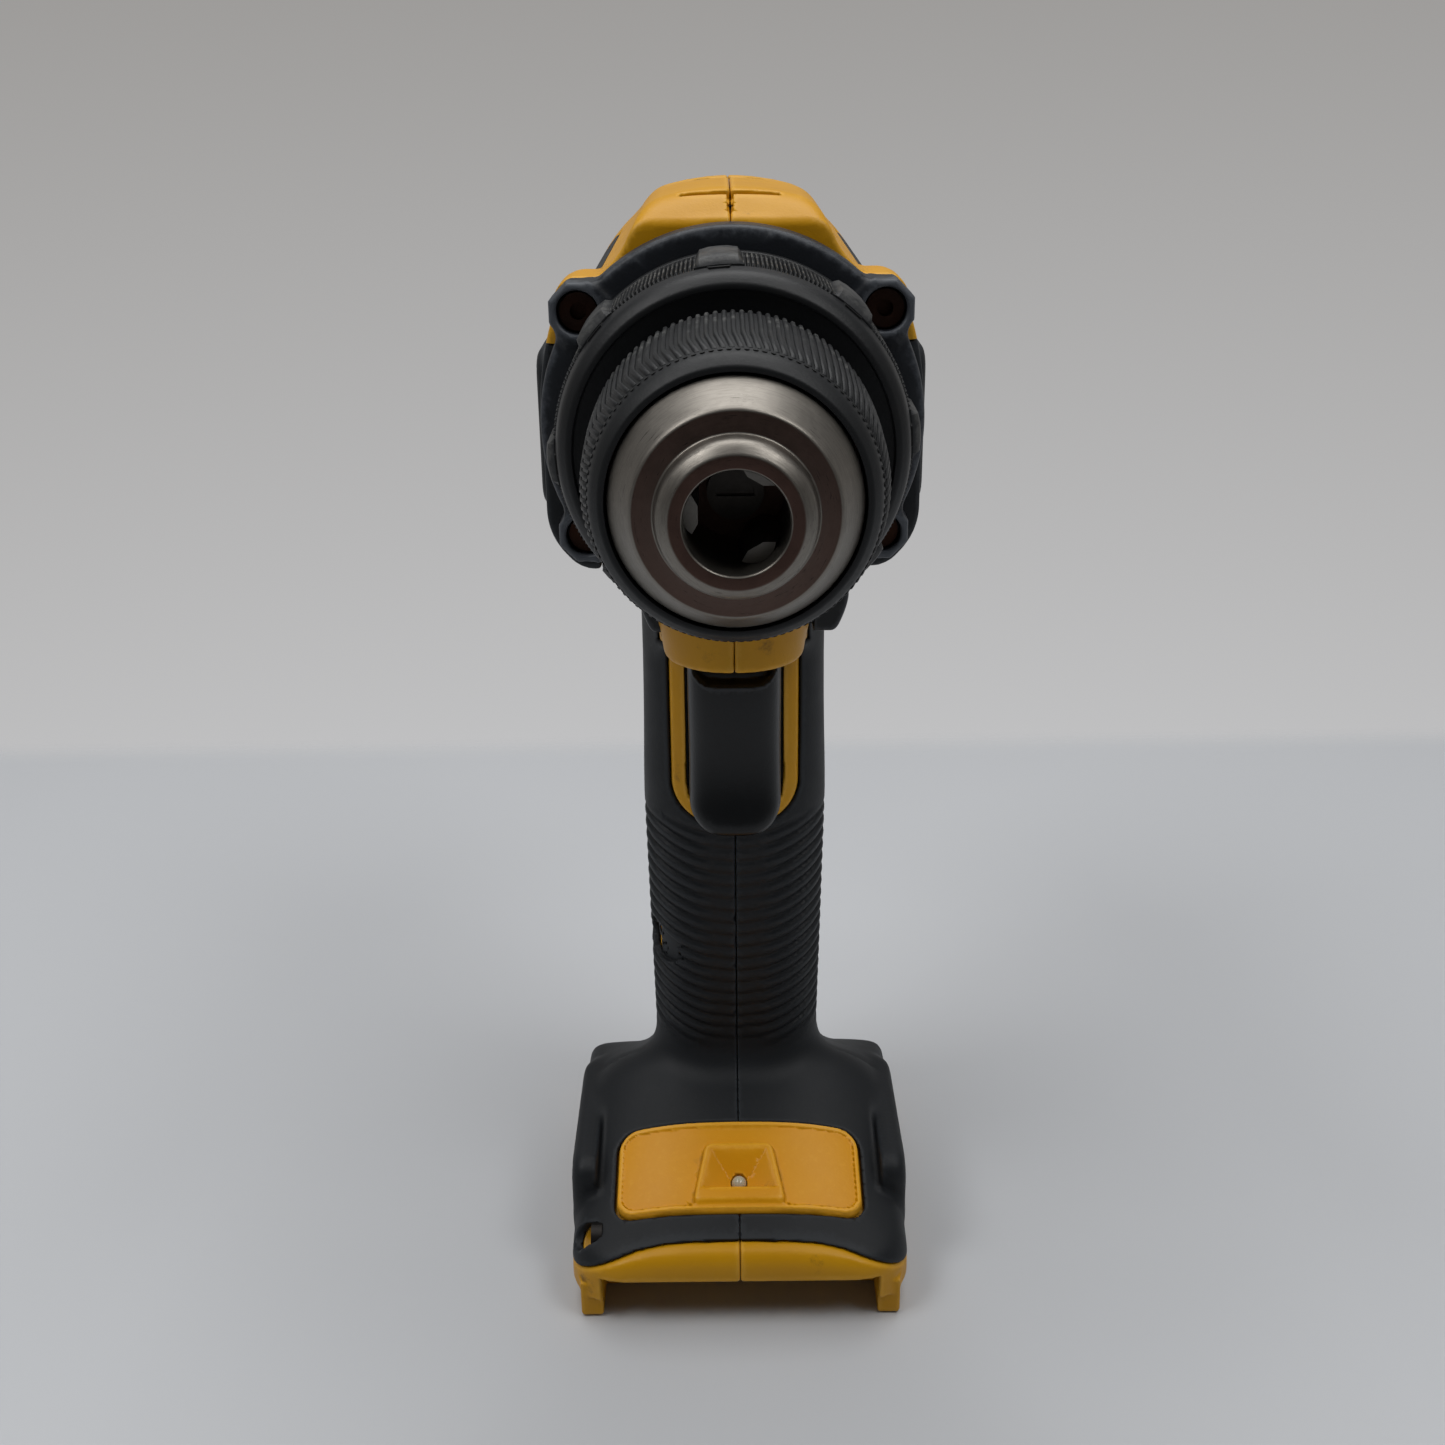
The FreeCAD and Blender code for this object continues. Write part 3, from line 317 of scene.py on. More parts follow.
def gear_housing(x, y, z):
    """Flange, four eight-sided ears, snout and gear room, with the stepped bore through them."""
    u = z - AXIS_Z
    r = np.hypot(x, u)
    ear = np.hypot(np.abs(x) - EAR_X, np.abs(u) - EAR_Z)
    eight_sided = np.maximum(
        np.maximum(np.abs(np.abs(x) - EAR_X), np.abs(np.abs(u) - EAR_Z)),
        (np.abs(np.abs(x) - EAR_X) + np.abs(np.abs(u) - EAR_Z)) / 1.38)
    flange = soft_max(r - FLANGE_R, between(y, FLANGE_FRONT, FLANGE_BACK), 1.4)
    ears = soft_max(eight_sided - EAR_R, between(y, FLANGE_FRONT - 0.3, FLANGE_BACK), 1.0)
    form = soft_min(flange, ears, 2.0)
    form = np.minimum(form, soft_max(r - SNOUT_R, between(y, -57.5, -30), 0.6))
    form = np.minimum(form, soft_max(r - GEAR_ROOM_R, between(y, -30, 8), 0.8))
    form = soft_max(form, EAR_POCKET_R - np.where(y < -30.5, ear, 9), 0.5)
    form = np.maximum(form, EAR_HOLE_R - ear)
    bore = np.where(y < -45, 14.05, np.where(y < -32, 8.0, np.where(y < -25.1, 17.4, 21.6)))
    form = np.maximum(form, bore - r)
    groove = np.maximum(16.3 - r, between(y, -57.05, -55.95))
    return np.maximum(form, -groove)


# Glass-filled nylon comes out of the mould dull and even; it has rubbed pale along its rim.
case_nylon = moulded("glass_filled_nylon_grey", "#1C2026", "#171A1F", 0.46, 0.35,
                     "#50545A", "#2B2825", wear=0.7, soil=0.35)
gear_case = formed_piece("gear_case", gear_housing, (-33, -59, 145), (33, 10, 215), FINE,
                         case_nylon)
settle(gear_case, "root", "gearcase", "gearcase")

rusty_zinc = bare_metal("zinc_screw_rusty", "#2E2A28", "#41261A", 0.6, 0.5, 0.06)
finish_nodes(rusty_zinc, "gearcase_screws")
finish_nodes(bare_metal("zinc_screw", "#3A3836", "#262423", 0.5, 0.5, 0.04), "housing_screws")

# ---- clutch collar --------------------------------------------------------------------------
# A black nylon ring that turns against the clutch spring. Eight raised tabs, each with a small
# window before it, stand on a band of fine ribs that fingers have rubbed pale.
COLLAR_FRONT = -56.0
COLLAR_BACK = -34.3
TAB_TURN = 4.0


def rounded_outline(corners, steps=4):
    """Points of an outline from (radius, y, fillet) corners, each fillet a short arc."""
    outline = []
    count = len(corners)
    for k, (r, y, fillet) in enumerate(corners):
        here = np.array([r, y])
        before = np.array(corners[k - 1][:2]) - here
        after = np.array(corners[(k + 1) % count][:2]) - here
        if fillet == 0:
            outline.append(here)
            continue
        reach = min(fillet, np.linalg.norm(before) * 0.45, np.linalg.norm(after) * 0.45)
        start = here + before / np.linalg.norm(before) * reach
        end = here + after / np.linalg.norm(after) * reach
        for t in np.linspace(0, 1, steps + 1):
            outline.append((1 - t) ** 2 * start + 2 * t * (1 - t) * here + t * t * end)
    return outline


def finish_mesh(mesh, smooth_angle=35):
    """Merges doubles, turns faces outwards and marks the sharp edges."""
    work = bmesh.new()
    work.from_mesh(mesh)
    bmesh.ops.remove_doubles(work, verts=work.verts, dist=1e-6)
    bmesh.ops.recalc_face_normals(work, faces=work.faces)
    work.to_mesh(mesh)
    work.free()
    mesh.polygons.foreach_set("use_smooth", [True] * len(mesh.polygons))
    mesh.set_sharp_from_angle(angle=math.radians(smooth_angle))
    mesh.update()


def new_piece(name, points, faces, material):
    """A mesh object from points in millimetres."""
    mesh = bpy.data.meshes.new(name)
    mesh.from_pydata((np.asarray(points, float) * MM).tolist(), [], [list(f) for f in faces])
    mesh.materials.append(material)
    finish_mesh(mesh)
    piece = bpy.data.objects.new(name, mesh)
    bpy.context.scene.collection.objects.link(piece)
    return piece


def turned(name, corners, material, around=144):
    """A ring turned about the spindle axis from a closed outline."""
    outline = rounded_outline(corners)
    count = len(outline)
    angles = [2 * math.pi * k / around for k in range(around)]
    points = [(r * math.cos(a), y, AXIS_Z + r * math.sin(a)) for a in angles for r, y in outline]
    faces = []
    for k in range(around):
        here, there = k * count, (k + 1) % around * count
        for i in range(count):
            j = (i + 1) % count
            faces.append((here + i, here + j, there + j, there + i))
    return new_piece(name, points, faces, material)


def bake_modifiers(piece):
    """Replaces the piece's mesh with its evaluated one and drops the modifiers."""
    bpy.context.view_layer.update()
    evaluated = piece.evaluated_get(bpy.context.evaluated_depsgraph_get())
    mesh = bpy.data.meshes.new_from_object(evaluated)
    piece.modifiers.clear()
    piece.data = mesh


def ring_tree():
    """Geometry nodes that repeat one shape round the spindle axis, leaving gaps."""
    tree = bpy.data.node_groups.new("repeat_round_the_axis", "GeometryNodeTree")
    face = tree.interface
    face.new_socket("Geometry", in_out="INPUT", socket_type="NodeSocketGeometry")
    for name, kind in (("Shape", "NodeSocketObject"), ("Count", "NodeSocketInt"),
                       ("First angle", "NodeSocketFloat"), ("Gap every", "NodeSocketInt"),
                       ("Gap width", "NodeSocketInt"), ("Material", "NodeSocketMaterial"),
                       ("Axis height", "NodeSocketFloat")):
        face.new_socket(name, in_out="INPUT", socket_type=kind)
    face.new_socket("Geometry", in_out="OUTPUT", socket_type="NodeSocketGeometry")
    given = add(tree, "NodeGroupInput")
    spot = add(tree, "ShaderNodeCombineXYZ", links={2: given.outputs["Axis height"]})
    spots = add(tree, "GeometryNodePoints",
                links={"Count": given.outputs["Count"], "Position": spot.outputs[0]})
    index = add(tree, "GeometryNodeInputIndex")
    place = add(tree, "ShaderNodeMath", {"operation": "MODULO"},
                {0: index.outputs[0], 1: given.outputs["Gap every"]})
    left_out = add(tree, "FunctionNodeCompare", {"operation": "LESS_THAN"},
                   {"A": place.outputs[0], "B": given.outputs["Gap width"]})
    numbered = add(tree, "GeometryNodeStoreNamedAttribute",
                   {"data_type": "INT", "domain": "POINT", "Name": "place"},
                   {0: spots.outputs[0], "Value": index.outputs[0]})
    kept = add(tree, "GeometryNodeDeleteGeometry",
               links={0: numbered.outputs[0], "Selection": left_out.outputs[0]})
    number = add(tree, "GeometryNodeInputNamedAttribute", {"data_type": "INT", "Name": "place"})
    share = add(tree, "ShaderNodeMath", {"operation": "DIVIDE"},
                {0: number.outputs[0], 1: given.outputs["Count"]})
    angle = add(tree, "ShaderNodeMath", {"operation": "MULTIPLY_ADD", 1: -2 * math.pi},
                {0: share.outputs[0]})
    back = add(tree, "ShaderNodeMath", {"operation": "MULTIPLY", 1: -1.0},
               {0: given.outputs["First angle"]})
    tree.links.new(back.outputs[0], angle.inputs[2])
    turn = add(tree, "ShaderNodeCombineXYZ", links={1: angle.outputs[0]})
    shape = add(tree, "GeometryNodeObjectInfo", links={"Object": given.outputs["Shape"]})
    copies = add(tree, "GeometryNodeInstanceOnPoints",
                 links={0: kept.outputs[0], "Instance": shape.outputs["Geometry"],
                        "Rotation": turn.outputs[0]})
    real = add(tree, "GeometryNodeRealizeInstances", links={0: copies.outputs[0]})
    painted = add(tree, "GeometryNodeSetMaterial",
                  links={0: real.outputs[0], "Material": given.outputs["Material"]})
    add(tree, "NodeGroupOutput", links={0: painted.outputs[0]})
    return tree


RING_TREE = ring_tree()


def repeated_round(name, points, faces, count, first_degrees, material, every=9999, gap=0):
    """A closed shape, drawn at +X of the axis, repeated round it; gaps may be left for tabs."""
    shape = new_piece("shape", np.asarray(points, float), faces, material)
    mesh = bpy.data.meshes.new(name)
    piece = bpy.data.objects.new(name, mesh)
    bpy.context.scene.collection.objects.link(piece)
    change = piece.modifiers.new("repeat", "NODES")
    change.node_group = RING_TREE
    values = {"Shape": shape, "Count": count, "First angle": math.radians(first_degrees),
              "Gap every": every, "Gap width": gap, "Material": material,
              "Axis height": AXIS_Z * MM}
    for socket in RING_TREE.interface.items_tree:
        if socket.item_type == "SOCKET" and socket.in_out == "INPUT" and socket.name in values:
            change[socket.identifier] = values[socket.name]
    bake_modifiers(piece)
    bpy.data.objects.remove(shape)
    piece.data.polygons.foreach_set("use_smooth", [True] * len(piece.data.polygons))
    piece.data.set_sharp_from_angle(angle=math.radians(35))
    return piece


def lofted(sections):
    """Points and faces of a closed bar through sections that have equally many points."""
    count = len(sections[0])
    points = [p for section in sections for p in section]
    faces = [tuple(range(count)), tuple((len(sections) - 1) * count + k for k in range(count))]
    for s in range(len(sections) - 1):
        for k in range(count):
            n = (k + 1) % count
            faces.append((s * count + k, s * count + n, (s + 1) * count + n, (s + 1) * count + k))
    return points, faces


def rib(stations, width, height, sink=0.4):
    """A rib along the spindle: (y, surface radius, sideways angle in degrees) stations."""
    sections = []
    last = len(stations) - 1
    for place, (y, r, degrees) in enumerate(stations):
        lift = height if 0 < place < last else height * 0.15
        shape = ((-width / 2, -sink), (-width / 2, lift * 0.5), (-width / 4, lift),
                 (width / 4, lift), (width / 2, lift * 0.5), (width / 2, -sink))
        side = r * math.radians(degrees)
        sections.append([(r + up, y, side + across) for across, up in shape])
    return lofted(sections)


def worn_nylon(name, colour, worn, rub_from, rub_to, least=0.12):
    """Black nylon rubbed pale on what stands furthest from the spindle axis.

    Wear grows from the radius rub_from to rub_to, in millimetres. With a higher least, fewer
    and smaller patches are worn through.
    """
    material, tree, shader, place = new_material(name, {"IOR": 1.5, "Specular IOR Level": 0.3})
    centred = add(tree, "ShaderNodeVectorMath",
                  {"operation": "SUBTRACT", 1: (0, 0, AXIS_Z)}, {0: place})
    flat = add(tree, "ShaderNodeVectorMath", {"operation": "MULTIPLY", 1: (1, 0, 1)},
               {0: centred.outputs[0]})
    radius = add(tree, "ShaderNodeVectorMath", {"operation": "LENGTH"}, {0: flat.outputs[0]})
    speck = add(tree, "ShaderNodeTexNoise", {"Scale": 1.1, "Detail": 5.0, "Roughness": 0.7},
                {0: place})
    patch = add(tree, "ShaderNodeTexNoise", {"Scale": 0.22, "Detail": 4.0}, {0: place})
    texture = add(tree, "ShaderNodeTexNoise", {"Scale": 2.8, "Detail": 2.0}, {0: place})
    stands = add(tree, "ShaderNodeMapRange", {"From Min": rub_from, "From Max": rub_to},
                 {"Value": radius.outputs["Value"]})
    rubbed = add(tree, "ShaderNodeMath", {"operation": "MULTIPLY"},
                 {0: stands.outputs[0], 1: speck.outputs[0]})
    spread = add(tree, "ShaderNodeMath", {"operation": "MULTIPLY"},
                 {0: rubbed.outputs[0], 1: patch.outputs[0]})
    mask = add(tree, "ShaderNodeMapRange",
               {"interpolation_type": "SMOOTHSTEP", "From Min": least, "From Max": least + 0.2,
                "To Max": 0.9}, {"Value": spread.outputs[0]})
    tone = add(tree, "ShaderNodeMix",
               {"data_type": "RGBA", 6: linear(colour), 7: linear(worn)}, {0: mask.outputs[0]})
    tree.links.new(tone.outputs[2], shader.inputs["Base Color"])
    gloss = add(tree, "ShaderNodeMapRange", {"To Min": 0.4, "To Max": 0.62},
                {"Value": speck.outputs[0]})
    tree.links.new(gloss.outputs[0], shader.inputs["Roughness"])
    bump = add(tree, "ShaderNodeBump", {"Strength": 0.5, "Distance": 0.05 * MM},
               {"Height": texture.outputs[0]})
    tree.links.new(bump.outputs[0], shader.inputs["Normal"])
    return material


collar_nylon = worn_nylon("nylon_collar_worn", "#0E1012", "#6C6A65", 26.9, 27.5)
tab_nylon = worn_nylon("nylon_tab_worn", "#17191B", "#454544", 26.6, 27.9)
collar_black = moulded("nylon_collar_black", "#0F1113", "#0C0D0F", 0.45, 0.5,
                       "#3A3B3C", "#1E1B18", wear=0.5, soil=0.3)
collar = turned("collar_ring", [
    (17.35, -55.2, 0.2), (24.0, -55.2, 0.2), (24.0, COLLAR_FRONT, 0.2), (24.9, -56.0, 0.5),
    (26.4, -54.4, 1.2), (26.9, -51.6, 0.3), (26.7, -51.3, 0.2), (26.8, -37.5, 0.2),
    (27.4, -37.2, 0.2), (27.4, COLLAR_BACK, 0.5), (24.6, COLLAR_BACK, 0.2), (24.6, -42, 0),
    (22.4, -42, 0), (22.4, -53.8, 0), (17.35, -53.8, 0.2),
], collar_black, 192)
settle(collar, "collar", "collar", "clutch_collar")

RIBS_PER_GAP = 30
RIB_COUNT = 8 * RIBS_PER_GAP
TAB_RIBS = 9                    # rib places that each tab takes up
points, faces = rib([(-51.2, 26.75, 0), (-50.8, 26.75, 0), (-38.2, 26.8, 0), (-37.6, 26.8, 0)],
                    0.42, 0.55)
collar_ribs = repeated_round(
    "collar_ribs", points, faces, RIB_COUNT,
    90 + TAB_TURN - (TAB_RIBS - 1) / 2 * 360 / RIB_COUNT, collar_nylon, RIBS_PER_GAP, TAB_RIBS)
settle(collar_ribs, "collar", "collar")

# Each tab has sloping sides and a rounded crown. The small window in its front foot is not cut:
# a flush near-black plug stands in for it, painted shade.
tab_sections = []
TAB_BASE, TAB_CROWN = 3.7, 2.9      # half widths at the foot and at the crown
TAB_FOOT_R = 26.85
TAB_STATIONS = ((-51.4, 0.2), (-50.7, 1.2), (-49.8, 1.55), (-39.5, 1.6), (-38.3, 1.2),
                (-37.9, 0.2))       # y, and height over the band
for y, lift in TAB_STATIONS:
    tab_sections.append([
        (26.0, y, -TAB_BASE), (TAB_FOOT_R, y, -TAB_BASE),
        (TAB_FOOT_R + lift * 0.85, y, -TAB_CROWN), (26.9 + lift, y, -TAB_CROWN * 0.5),
        (26.95 + lift, y, 0), (26.9 + lift, y, TAB_CROWN * 0.5),
        (TAB_FOOT_R + lift * 0.85, y, TAB_CROWN), (TAB_FOOT_R, y, TAB_BASE),
        (26.0, y, TAB_BASE),
    ])
points, faces = lofted(tab_sections)
collar_tabs = repeated_round("collar_tabs", points, faces, 8, 90 + TAB_TURN, tab_nylon)
settle(collar_tabs, "collar", "collar")

# Near-black for the collar's windows and the sleeve's pits: painted shade on flush plugs, not
# holes.
shadow_black = moulded("painted_shade_recess_black", "#08090A", "#060707", 0.6, 0.4,
                       "#101010", "#0C0B0A")
window = []
for y, grow in ((-52.6, 0.0), (-51.35, 0.35)):
    window.append([(26.1, y, -1.5 - grow), (26.97, y, -1.5 - grow), (26.97, y, 1.5 + grow),
                   (26.1, y, 1.5 + grow)])
points, faces = lofted(window)
collar_windows = repeated_round("collar_windows", points, faces, 8, 90 + TAB_TURN, shadow_black)
settle(collar_windows, "collar", "collar")

# ---- chuck body -----------------------------------------------------------------------------
# One turned and hardened steel bar with a 13 mm bore and three slanting jaw holes. Its bevels
# are worn bright with fine turning marks; its flat faces have gone brown.
NOSE_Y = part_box("chuck_body")[0].y / MM
CHUCK_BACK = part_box("chuck_body")[1].y / MM
BORE_R = 6.9
BODY_R = 17.2
BORE_DEPTH = 19.5
JAW_APEX_Y = NOSE_Y - 6.75      # where the three jaw lines meet, before the nose
JAW_HOLE_R = 3.28

# Bare steel, so its colour is its reflection. Turning marks lie 0.3 mm apart round the axis.
steel, tree, shader, place = new_material("turned_steel_worn", {"Metallic": 1.0})
centred = add(tree, "ShaderNodeVectorMath", {"operation": "SUBTRACT", 1: (0, 0, AXIS_Z)},
              {0: place})
split = add(tree, "ShaderNodeSeparateXYZ", links={0: centred.outputs[0]})
flat = add(tree, "ShaderNodeVectorMath", {"operation": "MULTIPLY", 1: (1, 0, 1)},
           {0: centred.outputs[0]})
radius = add(tree, "ShaderNodeVectorMath", {"operation": "LENGTH"}, {0: flat.outputs[0]})
turn = add(tree, "ShaderNodeMath", {"operation": "ARCTAN2"},
           {0: split.outputs[2], 1: split.outputs[0]})
round_place = add(tree, "ShaderNodeCombineXYZ",
                  links={0: radius.outputs["Value"], 1: split.outputs[1], 2: turn.outputs[0]})
marks = add(tree, "ShaderNodeTexNoise", {"Scale": 3.2, "Detail": 4.0, "Roughness": 0.8},
            {0: round_place.outputs[0]})
blotch = add(tree, "ShaderNodeTexNoise", {"Scale": 0.5, "Detail": 6.0, "Roughness": 0.7},
             {0: place})
facing = add(tree, "ShaderNodeNewGeometry")
towards = add(tree, "ShaderNodeSeparateXYZ", links={0: facing.outputs["Normal"]})
flatness = add(tree, "ShaderNodeMapRange", {"From Min": -0.93, "From Max": -0.995},
               {"Value": towards.outputs[1]})
bright = add(tree, "ShaderNodeMix",
             {"data_type": "RGBA", 6: linear("#514D48"), 7: linear("#98938B")},
             {0: marks.outputs[0]})
brown = add(tree, "ShaderNodeMix",
            {"data_type": "RGBA", 6: linear("#41322D"), 7: linear("#5A463F")},
            {0: blotch.outputs[0]})
tone = add(tree, "ShaderNodeMix", {"data_type": "RGBA"},
           {0: flatness.outputs[0], 6: bright.outputs[2], 7: brown.outputs[2]})
dark_streak = add(tree, "ShaderNodeMapRange",
                  {"interpolation_type": "SMOOTHSTEP", "From Min": 0.58, "From Max": 0.68,
                   "To Max": 0.8}, {"Value": marks.outputs[0]})
streaked = add(tree, "ShaderNodeMix", {"data_type": "RGBA", 7: linear("#2A2623")},
               {0: dark_streak.outputs[0], 6: tone.outputs[2]})
tree.links.new(streaked.outputs[2], shader.inputs["Base Color"])
gloss = add(tree, "ShaderNodeMapRange", {"To Min": 0.3, "To Max": 0.55},
            {"Value": blotch.outputs[0]})
tree.links.new(gloss.outputs[0], shader.inputs["Roughness"])
bump = add(tree, "ShaderNodeBump", {"Strength": 0.35, "Distance": 0.05 * MM},
           {"Height": marks.outputs[0]})
tree.links.new(bump.outputs[0], shader.inputs["Normal"])


def bar_between(start, end, radius, sides=48):
    """A round bar as a temporary object, for cutting holes."""
    start, end = Vector(start) * MM, Vector(end) * MM
    work = bmesh.new()
    bmesh.ops.create_cone(work, cap_ends=True, segments=sides, radius1=radius * MM,
                          radius2=radius * MM, depth=(end - start).length)
    turn = Vector((0, 0, 1)).rotation_difference(end - start).to_matrix().to_4x4()
    bmesh.ops.transform(work, matrix=Matrix.Translation((start + end) / 2) @ turn,
                        verts=work.verts)
    mesh = bpy.data.meshes.new("cutter")
    work.to_mesh(mesh)
    work.free()
    cutter = bpy.data.objects.new("cutter", mesh)
    bpy.context.scene.collection.objects.link(cutter)
    return cutter


def cut(piece, cutters):
    """Cuts temporary objects out of a piece and deletes them."""
    for cutter in cutters:
        change = piece.modifiers.new("cut", "BOOLEAN")
        change.operation = "DIFFERENCE"
        change.solver = "EXACT"
        change.object = cutter
    bake_modifiers(piece)
    for cutter in cutters:
        bpy.data.objects.remove(cutter)
    finish_mesh(piece.data)


nose = turned("chuck_nose", [
    (BORE_R, NOSE_Y + BORE_DEPTH, 0), (BORE_R, NOSE_Y + 0.3, 0.2), (7.1, NOSE_Y, 0.15),
    (8.9, NOSE_Y, 0.35), (10.5, NOSE_Y + 1.3, 0.9), (10.8, NOSE_Y + 3.7, 0.3),
    (13.8, NOSE_Y + 4.0, 0.4), (14.2, NOSE_Y + 4.5, 0.4), (16.9, NOSE_Y + 9.4, 0.6),
    (BODY_R, NOSE_Y + 10.2, 0.3), (BODY_R, CHUCK_BACK, 0.5), (6.4, CHUCK_BACK, 0),
    (6.4, NOSE_Y + 25, 0), (2.8, NOSE_Y + 25, 0), (2.8, NOSE_Y + BORE_DEPTH, 0),
], steel, 160)
jaw_holes = []
for joint in frame["joints"]:
    if joint["name"].startswith("jaw_"):
        line = -Vector(joint["axis"])
        apex = Vector((0, JAW_APEX_Y, AXIS_Z))
        jaw_holes.append(bar_between(apex + line * 2, apex + line * 47, JAW_HOLE_R))
cut(nose, jaw_holes)
settle(nose, "chuck", "chuck_steel", "chuck_body")
finish_nodes(steel, "chuck_nut")
finish_nodes(bare_metal("black_oxide_screw", "#4A4744", "#2F2C2A", 0.4, 0.5, 0.03),
             "chuck_screw")
jaw_steel = bare_metal("hardened_jaw_steel", "#86837E", "#5E5B57", 0.42, 0.35, 0.05)
finish_nodes(jaw_steel, "chuck_jaw_1", "chuck_jaw_2", "chuck_jaw_3")

# ---- chuck sleeve ---------------------------------------------------------------------------
# Black nylon moulded over the jaw nut. Fine ribs run along it and lean over near the front,
# where they end at a row of small pits before a smooth band.
sleeve_nylon = worn_nylon("nylon_sleeve_worn", "#0E1012", "#555553", 20.6, 21.8, 0.2)
sleeve = turned("sleeve_shell", [
    (17.5, -85.4, 0.1), (18.3, -85.4, 0.5), (19.7, -83.6, 0.9), (20.3, -80.6, 0.6),
    (21.0, -77.2, 1.0), (21.35, -69.0, 1.0), (21.4, -59.6, 0.4), (21.0, -58.0, 0.5),
    (17.5, -58.0, 0.2),
], sleeve_nylon, 160)
settle(sleeve, "sleeve", "sleeve", "chuck_sleeve")

SLEEVE_RIBS = 108
points, faces = rib([(-81.7, 20.05, -2.6), (-81.2, 20.15, -2.3), (-78.6, 20.65, -1.0),
                     (-76.8, 21.0, -0.2), (-74.5, 21.1, 0.0), (-66.0, 21.38, 0.0),
                     (-59.4, 21.38, 0.0), (-59.0, 21.36, 0.0)], 0.72, 0.36)
sleeve_ribs = repeated_round("sleeve_ribs", points, faces, SLEEVE_RIBS, 90, sleeve_nylon)
settle(sleeve_ribs, "sleeve", "sleeve")

# The pits are not cut: flush near-black plugs stand in for them, painted shade.
pit_sections = []
for r, size in ((19.4, 0.32), (20.02, 0.36)):
    pit_sections.append([(r, -82.45 + size * math.sin(k * math.pi / 3),
                          size * math.cos(k * math.pi / 3)) for k in range(6)])
points, faces = lofted(pit_sections)
sleeve_pits = repeated_round("sleeve_pits", points, faces, SLEEVE_RIBS, 92, shadow_black)
settle(sleeve_pits, "sleeve", "sleeve")

# ---- trigger --------------------------------------------------------------------------------
# A satin black nylon paddle, hollow behind, with a shallow hollow for the finger. It slides
# straight back on a plunger against its spring.
TRIGGER_LOW, TRIGGER_HIGH = 98.0, 133.0
TRIGGER_HALF = 8.7
TRIGGER_FRONT = -19.0
PLUNGER_Z = 122.0


def rounded_in_plan(a, b, half, low, high, corner):
    """A rounded rectangle in two directions, as a distance; a is centred, b runs low to high."""
    over_a = np.abs(a) - half + corner
    over_b = np.maximum(low + corner - b, b - high + corner)
    outside = np.hypot(np.maximum(over_a, 0), np.maximum(over_b, 0))
    return outside + np.minimum(np.maximum(over_a, over_b), 0) - corner


def trigger_paddle(x, y, z):
    """The paddle with its finger hollow and top ledge, its flange, pocket and plunger."""
    scoop = 2.4 * np.exp(-((z - 113) / 11.0) ** 2) - 1.6 * np.exp(-((z - 99) / 5.0) ** 2)
    crown = 2.0 * (x / TRIGGER_HALF) ** 2
    front = TRIGGER_FRONT + 1.0 + scoop * 0.8 + crown
    recess = rounded_in_plan(x, z, TRIGGER_HALF - 0.9, 128.6, 145, 3.6)
    ledge = 2.6 * np.clip(-recess / 0.9, 0, 1)
    outline = rounded_in_plan(x, z, TRIGGER_HALF, TRIGGER_LOW, TRIGGER_HIGH + 5, 6.0)
    outline = soft_max(outline, z - TRIGGER_HIGH, 0.8)
    form = soft_max(outline, (front + ledge - y) * 0.9, 4.0)
    form = soft_max(form, y + 1.2, 0.5)
    flange = np.maximum(rounded_in_plan(x, z, 10.6, TRIGGER_LOW - 1.5, TRIGGER_HIGH + 1.5, 5.0),
                        between(y, -2.7, -1.2))
    form = np.minimum(form, flange)
    pocket = np.maximum(rounded_in_plan(x, z, 6.0, TRIGGER_LOW + 3, TRIGGER_HIGH - 2.5, 3.0),
                        between(y, -13.0, 1))
    form = np.maximum(form, -pocket)
    plunger = np.maximum(np.hypot(x, z - PLUNGER_Z) - 3.0, between(y, -16, 8))
    return np.minimum(form, plunger)


satin_nylon = moulded("nylon_satin_black", "#0D0F12", "#0A0C0E", 0.32, 0.5,
                      "#34373B", "#1C1A18", wear=0.6, soil=0.2)
trigger = formed_piece("trigger_paddle", trigger_paddle, (-12, -21, 95), (12, 9.5, 136), FINE,
                       satin_nylon)
settle(trigger, "trigger", "trigger", "trigger")

# ---- direction and speed buttons ------------------------------------------------------------
# The direction button is one nylon bar right through the housing, with a paddle at each end
# that leans in towards the grip. The speed button slides in the hood's window and has four
# grooves across it for the thumb.
BUTTON_CENTRE = 1.85
BUTTON_HALF = 19.0
PADDLE_INSIDE = 12.6                # where each paddle starts, from the button's middle
PADDLE_LEAN = 2.3
KNOB_MIDDLE_Y = 14.0
KNOB_TOP = 34.2                     # above the spindle axis, just under the hood's window
THUMB_GROOVE_PITCH = 3.0
FIRST_THUMB_GROOVE = 9.6


def direction_bar(x, y, z):
    """The bar, its two paddles, and the finger that works the switch."""
    across = np.abs(x - BUTTON_CENTRE)
    lean = PADDLE_LEAN * np.clip((145.0 - z) / 7.0, 0, 1) ** 1.6
    bar = np.maximum(np.maximum(between(y, -13.2, -6.8), between(z, 139.2, 145.2)), across - 14)
    paddle = soft_max(between(y, -14.0, -6.0), between(z, 138.0, 146.0), 0.9)
    paddle = soft_max(paddle, (across - BUTTON_HALF + lean) * 0.93, 1.0)
    paddle = np.maximum(paddle, PADDLE_INSIDE - across)
    form = np.minimum(bar, paddle)
    middle = np.abs(x - BUTTON_CENTRE)
    arm = np.maximum(middle - 2, np.maximum(between(y, -7, 12), between(z, 140, 143.5)))
    finger = np.maximum(middle - 1.5, np.maximum(between(y, 9, 12), between(z, 130.4, 141)))
    return np.minimum(np.minimum(form, arm), finger)


button = formed_piece("direction_bar", direction_bar, (-18.5, -15, 129), (22.3, 13, 147.3),
                      FINE * 0.7, satin_nylon)
settle(button, "direction", "trigger", "direction_button")


